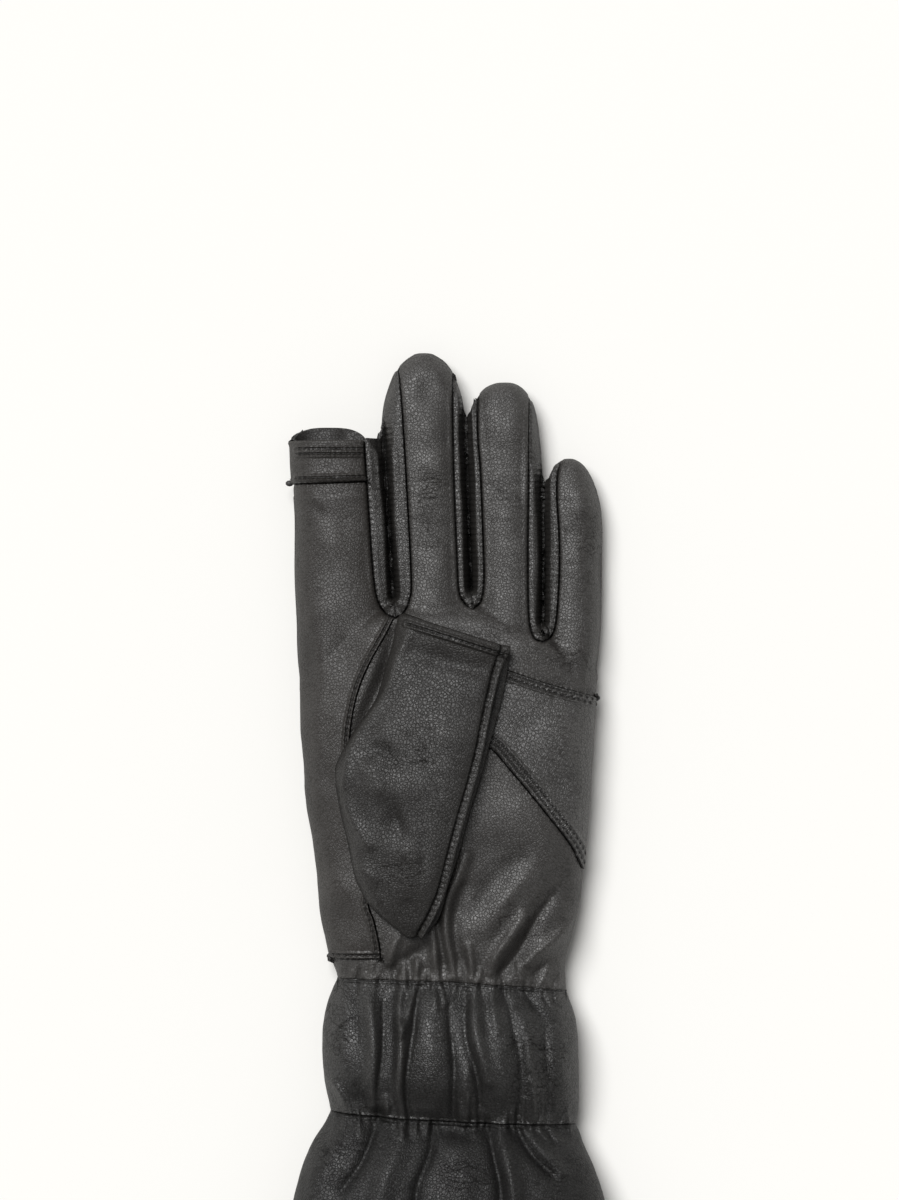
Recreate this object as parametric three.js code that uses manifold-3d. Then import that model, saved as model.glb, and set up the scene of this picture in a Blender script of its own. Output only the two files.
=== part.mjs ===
// Gauntlet glove in soft leather, for the left hand. It lies on its back: the palm faces +Z, the
// fingers point to +Y and the little finger is at +X. The origin is under the middle of the glove.
import * as THREE from 'three';
import { mergeVertices } from 'three/addons/utils/BufferGeometryUtils.js';
import Module from 'manifold-3d';

const wasm = await Module();
wasm.setup();

// Driving dimensions in millimetres.
const handLength = 200;      // tip of the middle finger to the first elastic line
const wristLength = 42.5;    // between the two elastic lines
const cuffLength = 77.5;     // second elastic line to the hem
const palmWidth = 96;        // flat width over the knuckles
const palmLoft = 26.5;       // height of the empty palm as it lies
const fingerLoft = 19;
const thumbLoft = 15;        // what the folded thumb adds above the palm
const wall = 1.2;            // leather
const bandWall = 1.9;        // folded leather at the open tip of the index finger
const seamGap = 0.3;         // between two pieces at a seam
const thumbRest = 0.35;      // between the folded thumb and the palm under it
const sideSeam = 6.5;        // height of the seam that joins the back to the palm side
const thumbHoleWide = 24;
const thumbHoleLong = 35;
const foldDepth = 2.4;       // deepest gather at the wrist
const overshoot = 4;         // how far a cavity runs out of an open end

const hemLine = -(handLength + wristLength + cuffLength) / 2;
const cuffLine = hemLine + cuffLength;
const wristLine = cuffLine + wristLength;

// Faces around and along one tube: fine enough for the folds, few enough to stay light.
const handFaces = { top: 18, under: 6 };
const fingerFaces = { top: 8, under: 5 };
const thumbFaces = { top: 10, under: 5 };
const wristFaces = { top: 28, under: 6 };

// Shares of a cross-section's height and width.
const handShape = { side: 0.4, flat: 0.66, crown: 2.8 };
const fingerShape = { side: 0.42, flat: 0.5, crown: 2.2 };
const wristShape = { side: 0.42, flat: 0.62, crown: 2.5 };
const tipLift = { share: 0.35, full: 0.93 };   // a fingertip rises off the table as it narrows

// Rows of cross-sections. along, slant and bow are shares of the stretch's own length: slant moves
// the right end, bow the middle, both towards the fingertips. left and right are shares of the palm
// width, from the centre line. high is a share of the loft.
const handRows = [
  { along: 0, slant: -0.019, bow: 0.006, left: -0.375, right: 0.387, high: 0.8 },
  { along: 0.032, slant: -0.011, bow: 0.003, left: -0.397, right: 0.383, high: 0.87 },
  { along: 0.069, slant: -0.005, bow: 0, left: -0.417, right: 0.403, high: 0.94 },
  { along: 0.125, slant: 0, bow: 0, left: -0.437, right: 0.43, high: 0.99 },
  { along: 0.197, slant: 0, bow: 0, left: -0.453, right: 0.445, high: 1.01 },
  { along: 0.285, slant: 0, bow: 0, left: -0.48, right: 0.463, high: 1.02 },
  { along: 0.373, slant: 0, bow: 0, left: -0.493, right: 0.478, high: 1 },
  { along: 0.437, slant: -0.003, bow: 0.029, left: -0.498, right: 0.487, high: 0.97 },
  { along: 0.485, slant: -0.016, bow: 0.064, left: -0.503, right: 0.492, high: 0.92 },
  { along: 0.509, slant: -0.026, bow: 0.083, left: -0.507, right: 0.495, high: 0.84 },
  { along: 0.522, slant: -0.029, bow: 0.09, left: -0.5, right: 0.487, high: 0.7 },
  { along: 0.526, slant: -0.029, bow: 0.091, left: -0.48, right: 0.467, high: 0.5 },
];
const fingerRows = {
  index: [
    { along: 0.413, left: -0.48, right: -0.207, high: 0.8 },
    { along: 0.461, left: -0.493, right: -0.193, high: 0.96 },
    { along: 0.509, left: -0.507, right: -0.186, high: 1.06 },
    { along: 0.573, left: -0.512, right: -0.19, high: 1.08 },
    { along: 0.637, left: -0.517, right: -0.2, high: 1.05 },
    { along: 0.765, left: -0.52, right: -0.217, high: 1 },
    { along: 0.813, left: -0.525, right: -0.225, high: 1 },
    { along: 0.859, left: -0.527, right: -0.232, high: 0.97 },
    { along: 0.885, left: -0.527, right: -0.233, high: 0.95 },
  ],
  middle: [
    { along: 0.413, left: -0.173, right: 0.067, high: 0.9 },
    { along: 0.477, left: -0.18, right: 0.073, high: 1.1 },
    { along: 0.541, left: -0.182, right: 0.073, high: 1.15 },
    { along: 0.605, left: -0.187, right: 0.068, high: 1.1 },
    { along: 0.765, left: -0.211, right: 0.056, high: 1 },
    { along: 0.845, left: -0.224, right: 0.052, high: 0.97 },
    { along: 0.893, left: -0.226, right: 0.048, high: 0.93 },
    { along: 0.925, left: -0.217, right: 0.04, high: 0.88 },
    { along: 0.949, left: -0.202, right: 0.025, high: 0.8 },
    { along: 0.97, left: -0.183, right: 0.008, high: 0.69 },
    { along: 0.986, left: -0.155, right: -0.017, high: 0.54 },
    { along: 1, left: -0.123, right: -0.053, high: 0.36 },
  ],
  ring: [
    { along: 0.413, left: 0.093, right: 0.3, high: 0.9 },
    { along: 0.477, left: 0.081, right: 0.306, high: 1.08 },
    { along: 0.541, left: 0.08, right: 0.307, high: 1.1 },
    { along: 0.605, left: 0.076, right: 0.307, high: 1.06 },
    { along: 0.765, left: 0.064, right: 0.308, high: 0.97 },
    { along: 0.845, left: 0.061, right: 0.303, high: 0.93 },
    { along: 0.885, left: 0.061, right: 0.293, high: 0.9 },
    { along: 0.912, left: 0.072, right: 0.282, high: 0.84 },
    { along: 0.93, left: 0.092, right: 0.265, high: 0.74 },
    { along: 0.944, left: 0.117, right: 0.24, high: 0.58 },
    { along: 0.952, left: 0.15, right: 0.213, high: 0.38 },
  ],
  little: [
    { along: 0.397, left: 0.333, right: 0.46, high: 0.85 },
    { along: 0.445, left: 0.323, right: 0.473, high: 0.95 },
    { along: 0.509, left: 0.317, right: 0.492, high: 1 },
    { along: 0.573, left: 0.316, right: 0.503, high: 0.97 },
    { along: 0.637, left: 0.316, right: 0.507, high: 0.93 },
    { along: 0.701, left: 0.317, right: 0.507, high: 0.9 },
    { along: 0.757, left: 0.318, right: 0.5, high: 0.85 },
    { along: 0.786, left: 0.322, right: 0.485, high: 0.77 },
    { along: 0.805, left: 0.333, right: 0.467, high: 0.66 },
    { along: 0.821, left: 0.352, right: 0.443, high: 0.52 },
    { along: 0.83, left: 0.375, right: 0.417, high: 0.36 },
  ],
};
// The thumb lies aslant, so both ends of a row have their own place along the hand. leftHigh and
// rightHigh are shares of the palm's loft, up and down shares of the thumb's.
const thumbRows = [
  { left: -0.15, leftAlong: 0.074, right: -0.097, rightAlong: 0.074, leftHigh: 1, rightHigh: 1.02, up: 0.12, down: 0.23 },
  { left: -0.223, leftAlong: 0.101, right: -0.057, rightAlong: 0.096, leftHigh: 0.98, rightHigh: 1.04, up: 0.31, down: 0.46 },
  { left: -0.3, leftAlong: 0.15, right: -0.017, rightAlong: 0.15, leftHigh: 0.96, rightHigh: 1.08, up: 0.46, down: 0.62 },
  { left: -0.337, leftAlong: 0.221, right: 0.023, rightAlong: 0.208, leftHigh: 0.94, rightHigh: 1.13, up: 0.58, down: 0.69 },
  { left: -0.367, leftAlong: 0.285, right: 0.053, rightAlong: 0.266, leftHigh: 0.92, rightHigh: 1.15, up: 0.62, down: 0.69 },
  { left: -0.377, leftAlong: 0.341, right: 0.093, rightAlong: 0.325, leftHigh: 0.92, rightHigh: 1.15, up: 0.62, down: 0.69 },
  { left: -0.31, leftAlong: 0.392, right: 0.123, rightAlong: 0.378, leftHigh: 0.94, rightHigh: 1.13, up: 0.58, down: 0.62 },
  { left: -0.233, leftAlong: 0.445, right: 0.147, rightAlong: 0.419, leftHigh: 0.96, rightHigh: 1.09, up: 0.54, down: 0.54 },
  { left: -0.19, leftAlong: 0.517, right: 0.173, rightAlong: 0.467, leftHigh: 0.94, rightHigh: 1.06, up: 0.5, down: 0.46 },
  { left: -0.153, leftAlong: 0.563, right: 0.187, rightAlong: 0.506, leftHigh: 0.91, rightHigh: 1, up: 0.45, down: 0.38 },
  { left: -0.133, leftAlong: 0.578, right: 0.19, rightAlong: 0.528, leftHigh: 0.89, rightHigh: 0.98, up: 0.43, down: 0.38 },
];
// The wrist band and the cuff run from an upper line towards the hem, so along counts downwards.
const wristRows = [
  { along: 0, slant: -0.09, bow: 0.029, left: -0.375, right: 0.387, high: 0.8 },
  { along: 0.087, slant: -0.083, bow: 0.026, left: -0.392, right: 0.398, high: 0.98 },
  { along: 0.23, slant: -0.06, bow: 0.015, left: -0.412, right: 0.415, high: 1.1 },
  { along: 0.472, slant: -0.03, bow: 0, left: -0.423, right: 0.425, high: 1.17 },
  { along: 0.736, slant: -0.023, bow: -0.008, left: -0.423, right: 0.428, high: 1.16 },
  { along: 0.902, slant: -0.06, bow: -0.011, left: -0.408, right: 0.428, high: 1.04 },
  { along: 1, slant: -0.096, bow: -0.011, left: -0.397, right: 0.418, high: 0.85 },
];
const cuffRows = [
  { along: 0, slant: -0.052, bow: -0.006, left: -0.397, right: 0.418, high: 0.85 },
  { along: 0.054, slant: -0.033, bow: -0.004, left: -0.423, right: 0.43, high: 0.99 },
  { along: 0.124, slant: -0.008, bow: 0, left: -0.46, right: 0.443, high: 1.08 },
  { along: 0.207, slant: 0, bow: 0, left: -0.487, right: 0.47, high: 1.15 },
  { along: 0.368, slant: 0, bow: 0, left: -0.523, right: 0.513, high: 1.23 },
  { along: 0.599, slant: 0, bow: 0, left: -0.563, right: 0.56, high: 1.3 },
  { along: 0.826, slant: 0, bow: 0, left: -0.595, right: 0.595, high: 1.35 },
  { along: 1, slant: 0, bow: 0, left: -0.617, right: 0.617, high: 1.38 },
];
// Folds of the palm side, each a soft ridge (deep above 0) or hollow along a straight line. x is a
// share of the palm width, from and to are shares of the hand length above the first elastic line,
// wide is a share of the palm width and deep of the fold depth.
const folds = [
  { x: -0.35, from: 0.03, xTo: -0.38, to: -0.2, wide: 0.045, deep: 0.5 },
  { x: -0.255, from: 0.04, xTo: -0.26, to: -0.22, wide: 0.035, deep: 0.8 },
  { x: -0.215, from: -0.01, xTo: -0.22, to: -0.2, wide: 0.022, deep: -0.9 },
  { x: -0.14, from: 0.03, xTo: -0.16, to: -0.21, wide: 0.032, deep: 0.9 },
  { x: -0.1, from: -0.01, xTo: -0.13, to: -0.2, wide: 0.022, deep: -0.8 },
  { x: -0.04, from: 0.03, xTo: -0.03, to: -0.22, wide: 0.04, deep: 0.8 },
  { x: 0.03, from: 0.01, xTo: 0.02, to: -0.21, wide: 0.025, deep: -1 },
  { x: 0.12, from: 0.03, xTo: 0.13, to: -0.2, wide: 0.045, deep: 0.7 },
  { x: 0.21, from: 0.01, xTo: 0.25, to: -0.2, wide: 0.035, deep: -0.8 },
  { x: 0.32, from: 0.02, xTo: 0.36, to: -0.2, wide: 0.05, deep: 0.6 },
  { x: 0.02, from: 0.16, xTo: -0.005, to: 0.02, wide: 0.03, deep: 0.7 },
  { x: 0.2, from: 0.22, xTo: 0.04, to: 0.03, wide: 0.05, deep: -1 },
  { x: 0.29, from: 0.12, xTo: 0.14, to: 0.01, wide: 0.03, deep: 0.8 },
  { x: 0.38, from: 0.2, xTo: 0.16, to: 0.02, wide: 0.035, deep: -0.9 },
  { x: -0.25, from: -0.225, xTo: -0.38, to: -0.34, wide: 0.04, deep: -1.1 },
  { x: -0.1, from: -0.23, xTo: -0.15, to: -0.4, wide: 0.035, deep: 0.9 },
  { x: -0.03, from: -0.23, xTo: -0.08, to: -0.42, wide: 0.045, deep: -1.1 },
  { x: 0.13, from: -0.24, xTo: 0.19, to: -0.42, wide: 0.04, deep: -1 },
  { x: 0.19, from: -0.24, xTo: 0.24, to: -0.4, wide: 0.035, deep: 0.9 },
];
// Seam lines of the palm side in plan: x as a share of the palm width, y of the hand length.
const seams = {
  indexFinger: [[-0.283, 0.9], [-0.283, 0.861], [-0.277, 0.813], [-0.26, 0.691], [-0.245, 0.632], [-0.225, 0.6], [-0.177, 0.578]],
  middleNearIndex: [[-0.177, 0.578], [-0.15, 0.589], [-0.131, 0.611], [-0.129, 0.64], [-0.144, 0.778], [-0.162, 0.917], [-0.18, 0.992]],
  middleNearRing: [[0.027, 0.989], [0.012, 0.954], [0.015, 0.813], [0.026, 0.674], [0.032, 0.621], [0.05, 0.6], [0.077, 0.592]],
  ringNearMiddle: [[0.077, 0.592], [0.1, 0.602], [0.11, 0.629], [0.11, 0.674], [0.1, 0.805], [0.091, 0.861], [0.09, 0.917], [0.103, 0.96]],
  ringNearLittle: [[0.273, 0.96], [0.267, 0.923], [0.263, 0.778], [0.261, 0.669], [0.264, 0.581], [0.278, 0.547], [0.308, 0.539]],
  little: [[0.308, 0.539], [0.335, 0.547], [0.351, 0.573], [0.361, 0.64], [0.361, 0.709], [0.354, 0.765], [0.356, 0.805], [0.373, 0.84]],
  indexPalm: [[-0.177, 0.578], [-0.213, 0.549], [-0.263, 0.506], [-0.297, 0.469], [-0.322, 0.421], [-0.333, 0.365], [-0.32, 0.301], [-0.24, 0.25]],
  patchTop: [[0.56, 0.435], [0.49, 0.449], [0.333, 0.47], [0.2, 0.491], [0.083, 0.445], [-0.033, 0.357], [-0.117, 0.269]],
  patchLow: [[0.54, 0.13], [0.443, 0.173], [0.4, 0.213], [0.317, 0.266], [0.217, 0.325], [0.113, 0.374], [0.04, 0.333], [-0.03, 0.26], [-0.1, 0.22]],
  indexEdge: [[-0.217, 0.189], [-0.268, 0.13], [-0.25, 0.093], [-0.233, 0.053], [-0.232, 0.03]],
  indexFoot: [[-0.22, 0.034], [-0.307, 0.033], [-0.46, 0.032]],
  bandFoot: [[-0.6, 0.79], [-0.4, 0.791], [-0.262, 0.794]],
};
// The open tip of the index finger: where the front and the side strip end, the edge between them,
// the back's round tab, and how far the cut reaches past them.
const indexTip = { front: 0.859, strip: 0.863, stripFrom: -0.28, stripTo: -0.23, tab: 0.882, tabLeft: -0.53, past: 0.93, aside: -0.6 };
const thumbHole = { x: -0.167, along: 0.218 };
const thumbSeam = { top: [0.17, 0.54], points: [[0.157, 0.493], [0.133, 0.445], [0.113, 0.389], [0.087, 0.333], [0.063, 0.31], [0.017, 0.23], [-0.013, 0.173], [-0.04, 0.133], [-0.065, 0.1]] };

const leather = { palm: 0x4b4947, index: 0x4c4643, back: 0x434140, strip: 0x3d3b3a, thumb: 0x464341 };

const group = new THREE.Group();

function solidOf(geometry) {
  const shape = geometry.clone();
  shape.deleteAttribute('normal');
  shape.deleteAttribute('uv');
  const merged = mergeVertices(shape, 1e-5);
  const vertProperties = new Float32Array(merged.getAttribute('position').array);
  const triVerts = new Uint32Array(merged.getIndex().array);
  return new wasm.Manifold(new wasm.Mesh({ numProp: 3, vertProperties, triVerts }));
}

function addPiece(name, solid, color) {
  const { numProp, vertProperties, triVerts } = solid.getMesh();
  const geometry = new THREE.BufferGeometry();
  geometry.setAttribute('position', new THREE.InterleavedBufferAttribute(new THREE.InterleavedBuffer(vertProperties, numProp), 3, 0));
  geometry.setIndex(new THREE.BufferAttribute(triVerts, 1));
  const material = new THREE.MeshStandardMaterial({ color, roughness: 0.55, metalness: 0, flatShading: true });
  const mesh = new THREE.Mesh(geometry, material);
  mesh.name = name;
  group.add(mesh);
}

// Height of the folds over a place on the palm side.
function foldHeight(x, y) {
  const place = new THREE.Vector2(x / palmWidth, (y - wristLine) / handLength * lengthToWidth);
  let height = 0;
  for (const fold of folds) {
    const start = new THREE.Vector2(fold.x, fold.from * lengthToWidth);
    const line = new THREE.Vector2(fold.xTo, fold.to * lengthToWidth).sub(start);
    const offset = place.clone().sub(start);
    const share = offset.dot(line) / line.lengthSq();
    const away = Math.abs(offset.cross(line)) / line.length() / fold.wide;
    const fade = THREE.MathUtils.smoothstep(share, -0.08, 0.15) * (1 - THREE.MathUtils.smoothstep(share, 0.85, 1.08));
    height += fold.deep * foldDepth * fade * Math.exp(-away * away);
  }
  return height;
}
const lengthToWidth = handLength / palmWidth;

// One cross-section as a ring of points: over the top from left to right, back underneath.
function ring({ left, right, bow, faces, over, under, fold = () => 0 }) {
  const points = [];
  const at = (u, lift) => {
    const point = left.clone().lerp(right, (u + 1) / 2);
    point.y += bow * (1 - u * u);
    point.z += lift;
    return point;
  };
  for (let k = 0; k <= faces.top; k += 1) {
    const angle = Math.PI * (1 - k / faces.top);
    const point = at(Math.cos(angle), over(Math.cos(angle)));
    point.z += fold(point.x, point.y) * Math.sin(angle);
    points.push(point);
  }
  for (let k = 1; k < faces.under; k += 1) {
    const u = Math.cos(Math.PI * k / faces.under);
    points.push(at(u, -under(u)));
  }
  return points;
}

// Joins rings into one closed skin, with a fan of triangles over each end.
function tube(rings) {
  const around = rings[0].length;
  const points = rings.flat();
  const index = [];
  for (let row = 0; row + 1 < rings.length; row += 1) {
    for (let k = 0; k < around; k += 1) {
      const next = (k + 1) % around;
      const [a, b] = [row * around + k, row * around + next];
      index.push(a, b, b + around, a, b + around, a + around);
    }
  }
  const last = (rings.length - 1) * around;
  const middle = (first) => points.slice(first, first + around)
    .reduce((sum, point) => sum.add(point), new THREE.Vector3()).divideScalar(around);
  const ends = [middle(0), middle(last)];
  const first = points.length;
  for (let k = 0; k < around; k += 1) {
    const next = (k + 1) % around;
    index.push(first, next, k, first + 1, last + k, last + next);
  }
  const geometry = new THREE.BufferGeometry().setFromPoints([...points, ...ends]);
  geometry.setIndex(index);
  return solidOf(geometry);
}

// A flat-bottomed stretch of the glove. inset makes the cavity inside the leather, and outset the
// room that a neighbour leaves around it.
function stretch({ rows, start, length, loft, shape, faces, lifted = false, folded = true, inset = 0, shift = 0, run = [0, 0] }) {
  const rings = rows.map((row) => {
    const high = row.high * loft;
    const floor = lifted ? Math.max(0, tipLift.share * (tipLift.full * loft - high)) : 0;
    const edge = floor + shape.side * high;
    const y = start + row.along * length - shift;
    const slant = (row.slant ?? 0) * Math.abs(length);
    const dome = high * (1 - shape.side) - inset;
    const belly = high * shape.side - inset;
    return {
      left: new THREE.Vector3(row.left * palmWidth + inset, y, edge),
      right: new THREE.Vector3(row.right * palmWidth - inset, y + slant, edge),
      bow: (row.bow ?? 0) * Math.abs(length),
      faces,
      over: (u) => dome * Math.sqrt(Math.max(0, 1 - Math.abs(u) ** shape.crown)),
      under: (u) => belly * Math.sqrt(1 - Math.max(0, (Math.abs(u) - shape.flat) / (1 - shape.flat)) ** 2),
      fold: folded ? foldHeight : undefined,
    };
  });
  const ordered = length > 0 ? rings : rings.reverse();
  const moved = (section, y) => ({
    ...section, left: section.left.clone().setY(section.left.y + y), right: section.right.clone().setY(section.right.y + y),
  });
  if (run[0]) ordered.unshift(moved(ordered[0], -run[0]));
  if (run[1]) ordered.push(moved(ordered.at(-1), run[1]));
  return tube(ordered.map(ring));
}

// The whole hand with its four fingers, as a solid or as the cavity in it.
function handForm(inset = 0) {
  const closed = Math.max(0, inset);
  const hand = stretch({
    rows: handRows, start: wristLine + seamGap / 2, length: handLength, loft: palmLoft, shape: handShape, faces: handFaces,
    inset, shift: closed, run: [closed ? overshoot : 0, 0],
  });
  return Object.keys(fingerRows).reduce((form, name) => form.add(fingerForm(name, inset)), hand);
}

// One finger. The index finger is open at its tip, so its cavity runs out there.
function fingerForm(name, inset) {
  const closed = Math.max(0, inset);
  const open = name === 'index';
  return stretch({
    rows: fingerRows[name], start: wristLine, length: handLength, loft: fingerLoft, shape: fingerShape,
    faces: fingerFaces, lifted: true, folded: false, inset, shift: open ? 0 : closed,
    run: [0, open && closed ? overshoot : 0],
  });
}

function inPlan([x, along]) {
  return new THREE.Vector2(x * palmWidth, wristLine + along * handLength);
}

// A thin upright curtain along a seam line, which parts two pieces of leather.
function curtain(points, low, high) {
  const steps = points.length + 1;
  const line = new THREE.SplineCurve(points.map(inPlan)).getPoints(steps);
  const sides = [1, -1].map((side) => line.map((point, k) => {
    const along = line[Math.min(k + 1, steps)].clone().sub(line[Math.max(k - 1, 0)]).normalize();
    return new THREE.Vector2(-along.y, along.x).multiplyScalar(side * seamGap / 2).add(point);
  }));
  return block([...sides[0], ...sides[1].reverse()], low, high);
}

// An upright block over an outline in plan.
function block(outline, low, high) {
  const geometry = new THREE.ExtrudeGeometry(new THREE.Shape(outline), { depth: high - low, bevelEnabled: false });
  return solidOf(geometry.translate(0, 0, low));
}

function thumbHoleBlock(low, high) {
  const middle = inPlan([thumbHole.x, thumbHole.along]);
  const outline = new THREE.EllipseCurve(middle.x, middle.y, thumbHoleWide / 2, thumbHoleLong / 2).getPoints(20);
  return block(outline.slice(0, -1), low, high);
}

// What is cut away at the open tip of the index finger: all of the front, and the back outside its tab.
function indexTipCuts() {
  const { front, strip, stripFrom, stripTo, tab, tabLeft, past, aside } = indexTip;
  const step = [[aside, front], [stripFrom, front], [stripFrom, strip], [stripTo, strip], [stripTo, past], [aside, past]];
  const arc = Array.from({ length: 13 }, (_, k) => {
    const u = k / 6 - 1;
    const rise = (1 - Math.abs(u) ** 3) ** 0.6;
    return [THREE.MathUtils.mapLinear(u, -1, 1, tabLeft, stripFrom), THREE.MathUtils.lerp(front, tab, rise)];
  });
  const roundTab = [[aside, front], ...arc, [stripTo, front], [stripTo, past], [aside, past]];
  return block(step.map(inPlan), sideSeam, palmLoft).add(block(roundTab.map(inPlan), -1, palmLoft));
}

// The piece of a cut-up skin whose leather comes nearest to a probe point.
function pieceAt(pieces, [x, along], high) {
  const probe = new THREE.Vector3(...inPlan([x, along]).toArray(), high);
  const nearness = pieces.map((piece) => {
    const { numProp, vertProperties, triVerts } = piece.getMesh();
    const corner = (k) => new THREE.Vector3().fromArray(vertProperties, triVerts[k] * numProp);
    let nearest = Infinity;
    const [triangle, spot] = [new THREE.Triangle(), new THREE.Vector3()];
    for (let k = 0; k < triVerts.length; k += 3) {
      triangle.set(corner(k), corner(k + 1), corner(k + 2)).closestPointToPoint(probe, spot);
      nearest = Math.min(nearest, spot.distanceTo(probe));
    }
    return nearest;
  });
  return pieces[nearness.indexOf(Math.min(...nearness))];
}

// Parts a skin along its seams, and along the side seam between the back and the palm side.
function cutApart(skin, lines) {
  const slab = new THREE.BoxGeometry(2 * palmWidth, 2 * handLength, seamGap);
  const start = skin.subtract(solidOf(slab.translate(0, wristLine + handLength / 2, sideSeam)));
  return lines.reduce((rest, points) => rest.subtract(curtain(points, sideSeam, 2 * palmLoft)), start).decompose();
}

function makeHand() {
  const [cavity, cuts] = [handForm(wall), indexTipCuts()];
  const hole = thumbHoleBlock(sideSeam, 2 * palmLoft);
  const pieces = cutApart(handForm().subtract(cavity).subtract(cuts).subtract(hole), Object.values(seams));
  const thick = fingerForm('index', wall - bandWall).subtract(cavity).subtract(cuts);
  const bands = cutApart(thick, [seams.indexFinger, seams.bandFoot]);
  const top = palmLoft;
  const finger = fingerLoft / 2;
  addPiece('palm_upper', pieceAt(pieces, [0.2, 0.56], top), leather.palm);
  addPiece('palm_patch', pieceAt(pieces, [0.25, 0.4], top), leather.palm);
  addPiece('palm_lower', pieceAt(pieces, [0.2, 0.15], top), leather.palm);
  addPiece('index_front', pieceAt(pieces, [-0.4, 0.6], fingerLoft), leather.index);
  addPiece('index_band', pieceAt(bands, [-0.4, 0.83], fingerLoft), leather.index);
  addPiece('hand_back', pieceAt(pieces, [0, 0.3], 0), leather.back);
  addPiece('fourchette_index_middle', pieceAt(pieces, [-0.207, 0.66], finger), leather.strip);
  addPiece('fourchette_middle_ring', pieceAt(pieces, [0.062, 0.7], finger), leather.strip);
  addPiece('fourchette_ring_little', pieceAt(pieces, [0.312, 0.6], finger), leather.strip);
}

// The folded thumb. Its underside follows the palm, and it opens into the palm at the thumb hole.
function thumbForm(inset = 0) {
  const rings = thumbRows.map((row) => {
    const left = new THREE.Vector3(...inPlan([row.left, row.leftAlong]).toArray(), row.leftHigh * palmLoft);
    const right = new THREE.Vector3(...inPlan([row.right, row.rightAlong]).toArray(), row.rightHigh * palmLoft);
    const inwards = right.clone().sub(left).normalize().multiplyScalar(inset);
    const round = (height) => (u) => Math.max(0.05, height - inset) * Math.sqrt(Math.max(0, 1 - u * u));
    return {
      left: left.add(inwards).setY(left.y + inset), right: right.sub(inwards).setY(right.y + inset), bow: 0,
      faces: thumbFaces, over: round(row.up * thumbLoft), under: round(row.down * thumbLoft),
    };
  });
  if (inset) {
    const end = rings.at(-1);
    const out = new THREE.Vector3(0, overshoot, 0);
    rings.push({ ...end, left: end.left.clone().add(out), right: end.right.clone().add(out) });
    rings.shift();
  }
  return tube(rings.map(ring)).subtract(handForm(-thumbRest - inset));
}

function makeThumb() {
  const { top, points } = thumbSeam;
  const [x, along] = top;
  const seam = curtain([[x + 0.01, along + 0.03], top, ...points], palmLoft * 1.06, palmLoft + 2 * thumbLoft);
  const thumbFloor = palmLoft + thumbRest + 2.5 * wall;
  const skin = thumbForm().subtract(thumbForm(wall)).subtract(thumbHoleBlock(sideSeam, thumbFloor)).subtract(seam);
  addPiece('thumb', pieceAt(skin.decompose(), [-0.15, 0.3], palmLoft + thumbLoft), leather.thumb);
}

// The band between the elastic lines, and the cuff: open tubes, half a seam gap short of each line.
function makeSleeve(name, rows, start, length, color) {
  const span = { rows, start: start - seamGap / 2, length: -length, loft: palmLoft, shape: wristShape, faces: wristFaces };
  const run = [overshoot, overshoot];
  addPiece(name, stretch(span).subtract(stretch({ ...span, inset: wall, run })), color);
}

makeHand();
makeThumb();
makeSleeve('wrist_band', wristRows, wristLine, wristLength - seamGap, leather.palm);
makeSleeve('cuff', cuffRows, cuffLine, cuffLength - seamGap / 2, leather.palm);

export default group;
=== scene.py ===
import math
import random

import bmesh
import bpy
import numpy as np
from mathutils import Matrix, Vector, noise
from mathutils.bvhtree import BVHTree
from mathutils.kdtree import KDTree


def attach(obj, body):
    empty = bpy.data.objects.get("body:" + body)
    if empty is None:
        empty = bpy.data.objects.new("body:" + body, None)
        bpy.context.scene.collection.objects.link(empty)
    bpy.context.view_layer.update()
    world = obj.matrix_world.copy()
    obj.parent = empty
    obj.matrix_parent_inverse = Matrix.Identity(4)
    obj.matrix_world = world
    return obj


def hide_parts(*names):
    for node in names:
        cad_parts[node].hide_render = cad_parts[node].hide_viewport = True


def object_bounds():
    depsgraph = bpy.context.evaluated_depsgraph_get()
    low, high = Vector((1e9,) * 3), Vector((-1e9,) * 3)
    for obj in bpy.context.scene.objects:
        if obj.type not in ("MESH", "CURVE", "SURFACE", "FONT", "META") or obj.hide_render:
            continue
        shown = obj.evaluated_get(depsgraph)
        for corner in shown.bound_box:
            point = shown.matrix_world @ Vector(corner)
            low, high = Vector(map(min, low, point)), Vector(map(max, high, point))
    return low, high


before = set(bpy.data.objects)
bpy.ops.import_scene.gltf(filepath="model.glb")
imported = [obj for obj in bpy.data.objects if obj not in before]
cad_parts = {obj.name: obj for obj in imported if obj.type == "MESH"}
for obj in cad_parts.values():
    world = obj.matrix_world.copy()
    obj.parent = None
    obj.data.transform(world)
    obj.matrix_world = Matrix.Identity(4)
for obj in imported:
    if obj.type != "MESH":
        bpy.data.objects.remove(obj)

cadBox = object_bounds()

# A left-hand gauntlet glove in soft black leather. It lies on its back: the palm faces up, the
# fingers point to +Y and the little finger is at +X. Lengths are in metres, mm turns them round.
mm = 0.001
farOff = 1.0        # a metre, where nothing is near
glove = {
    "handLength": 200 * mm,     # tip of the middle finger to the first elastic line
    "wristLength": 42.5 * mm,   # between the two elastic lines
    "cuffLength": 77.5 * mm,    # second elastic line to the hem
    "palmWidth": 96 * mm,
    "palmLoft": 26.5 * mm,
    "fingerLoft": 19 * mm,
    "thumbLoft": 15 * mm,
    "wall": 1.2 * mm,           # leather
    "bandWall": 1.9 * mm,       # folded leather at the open fingertip
    "sideSeam": 6.5 * mm,       # height of the seam round the hand
}
hemLine = cadBox[0].y
cuffLine = hemLine + glove["cuffLength"]
wristLine = cuffLine + glove["wristLength"]

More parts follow.
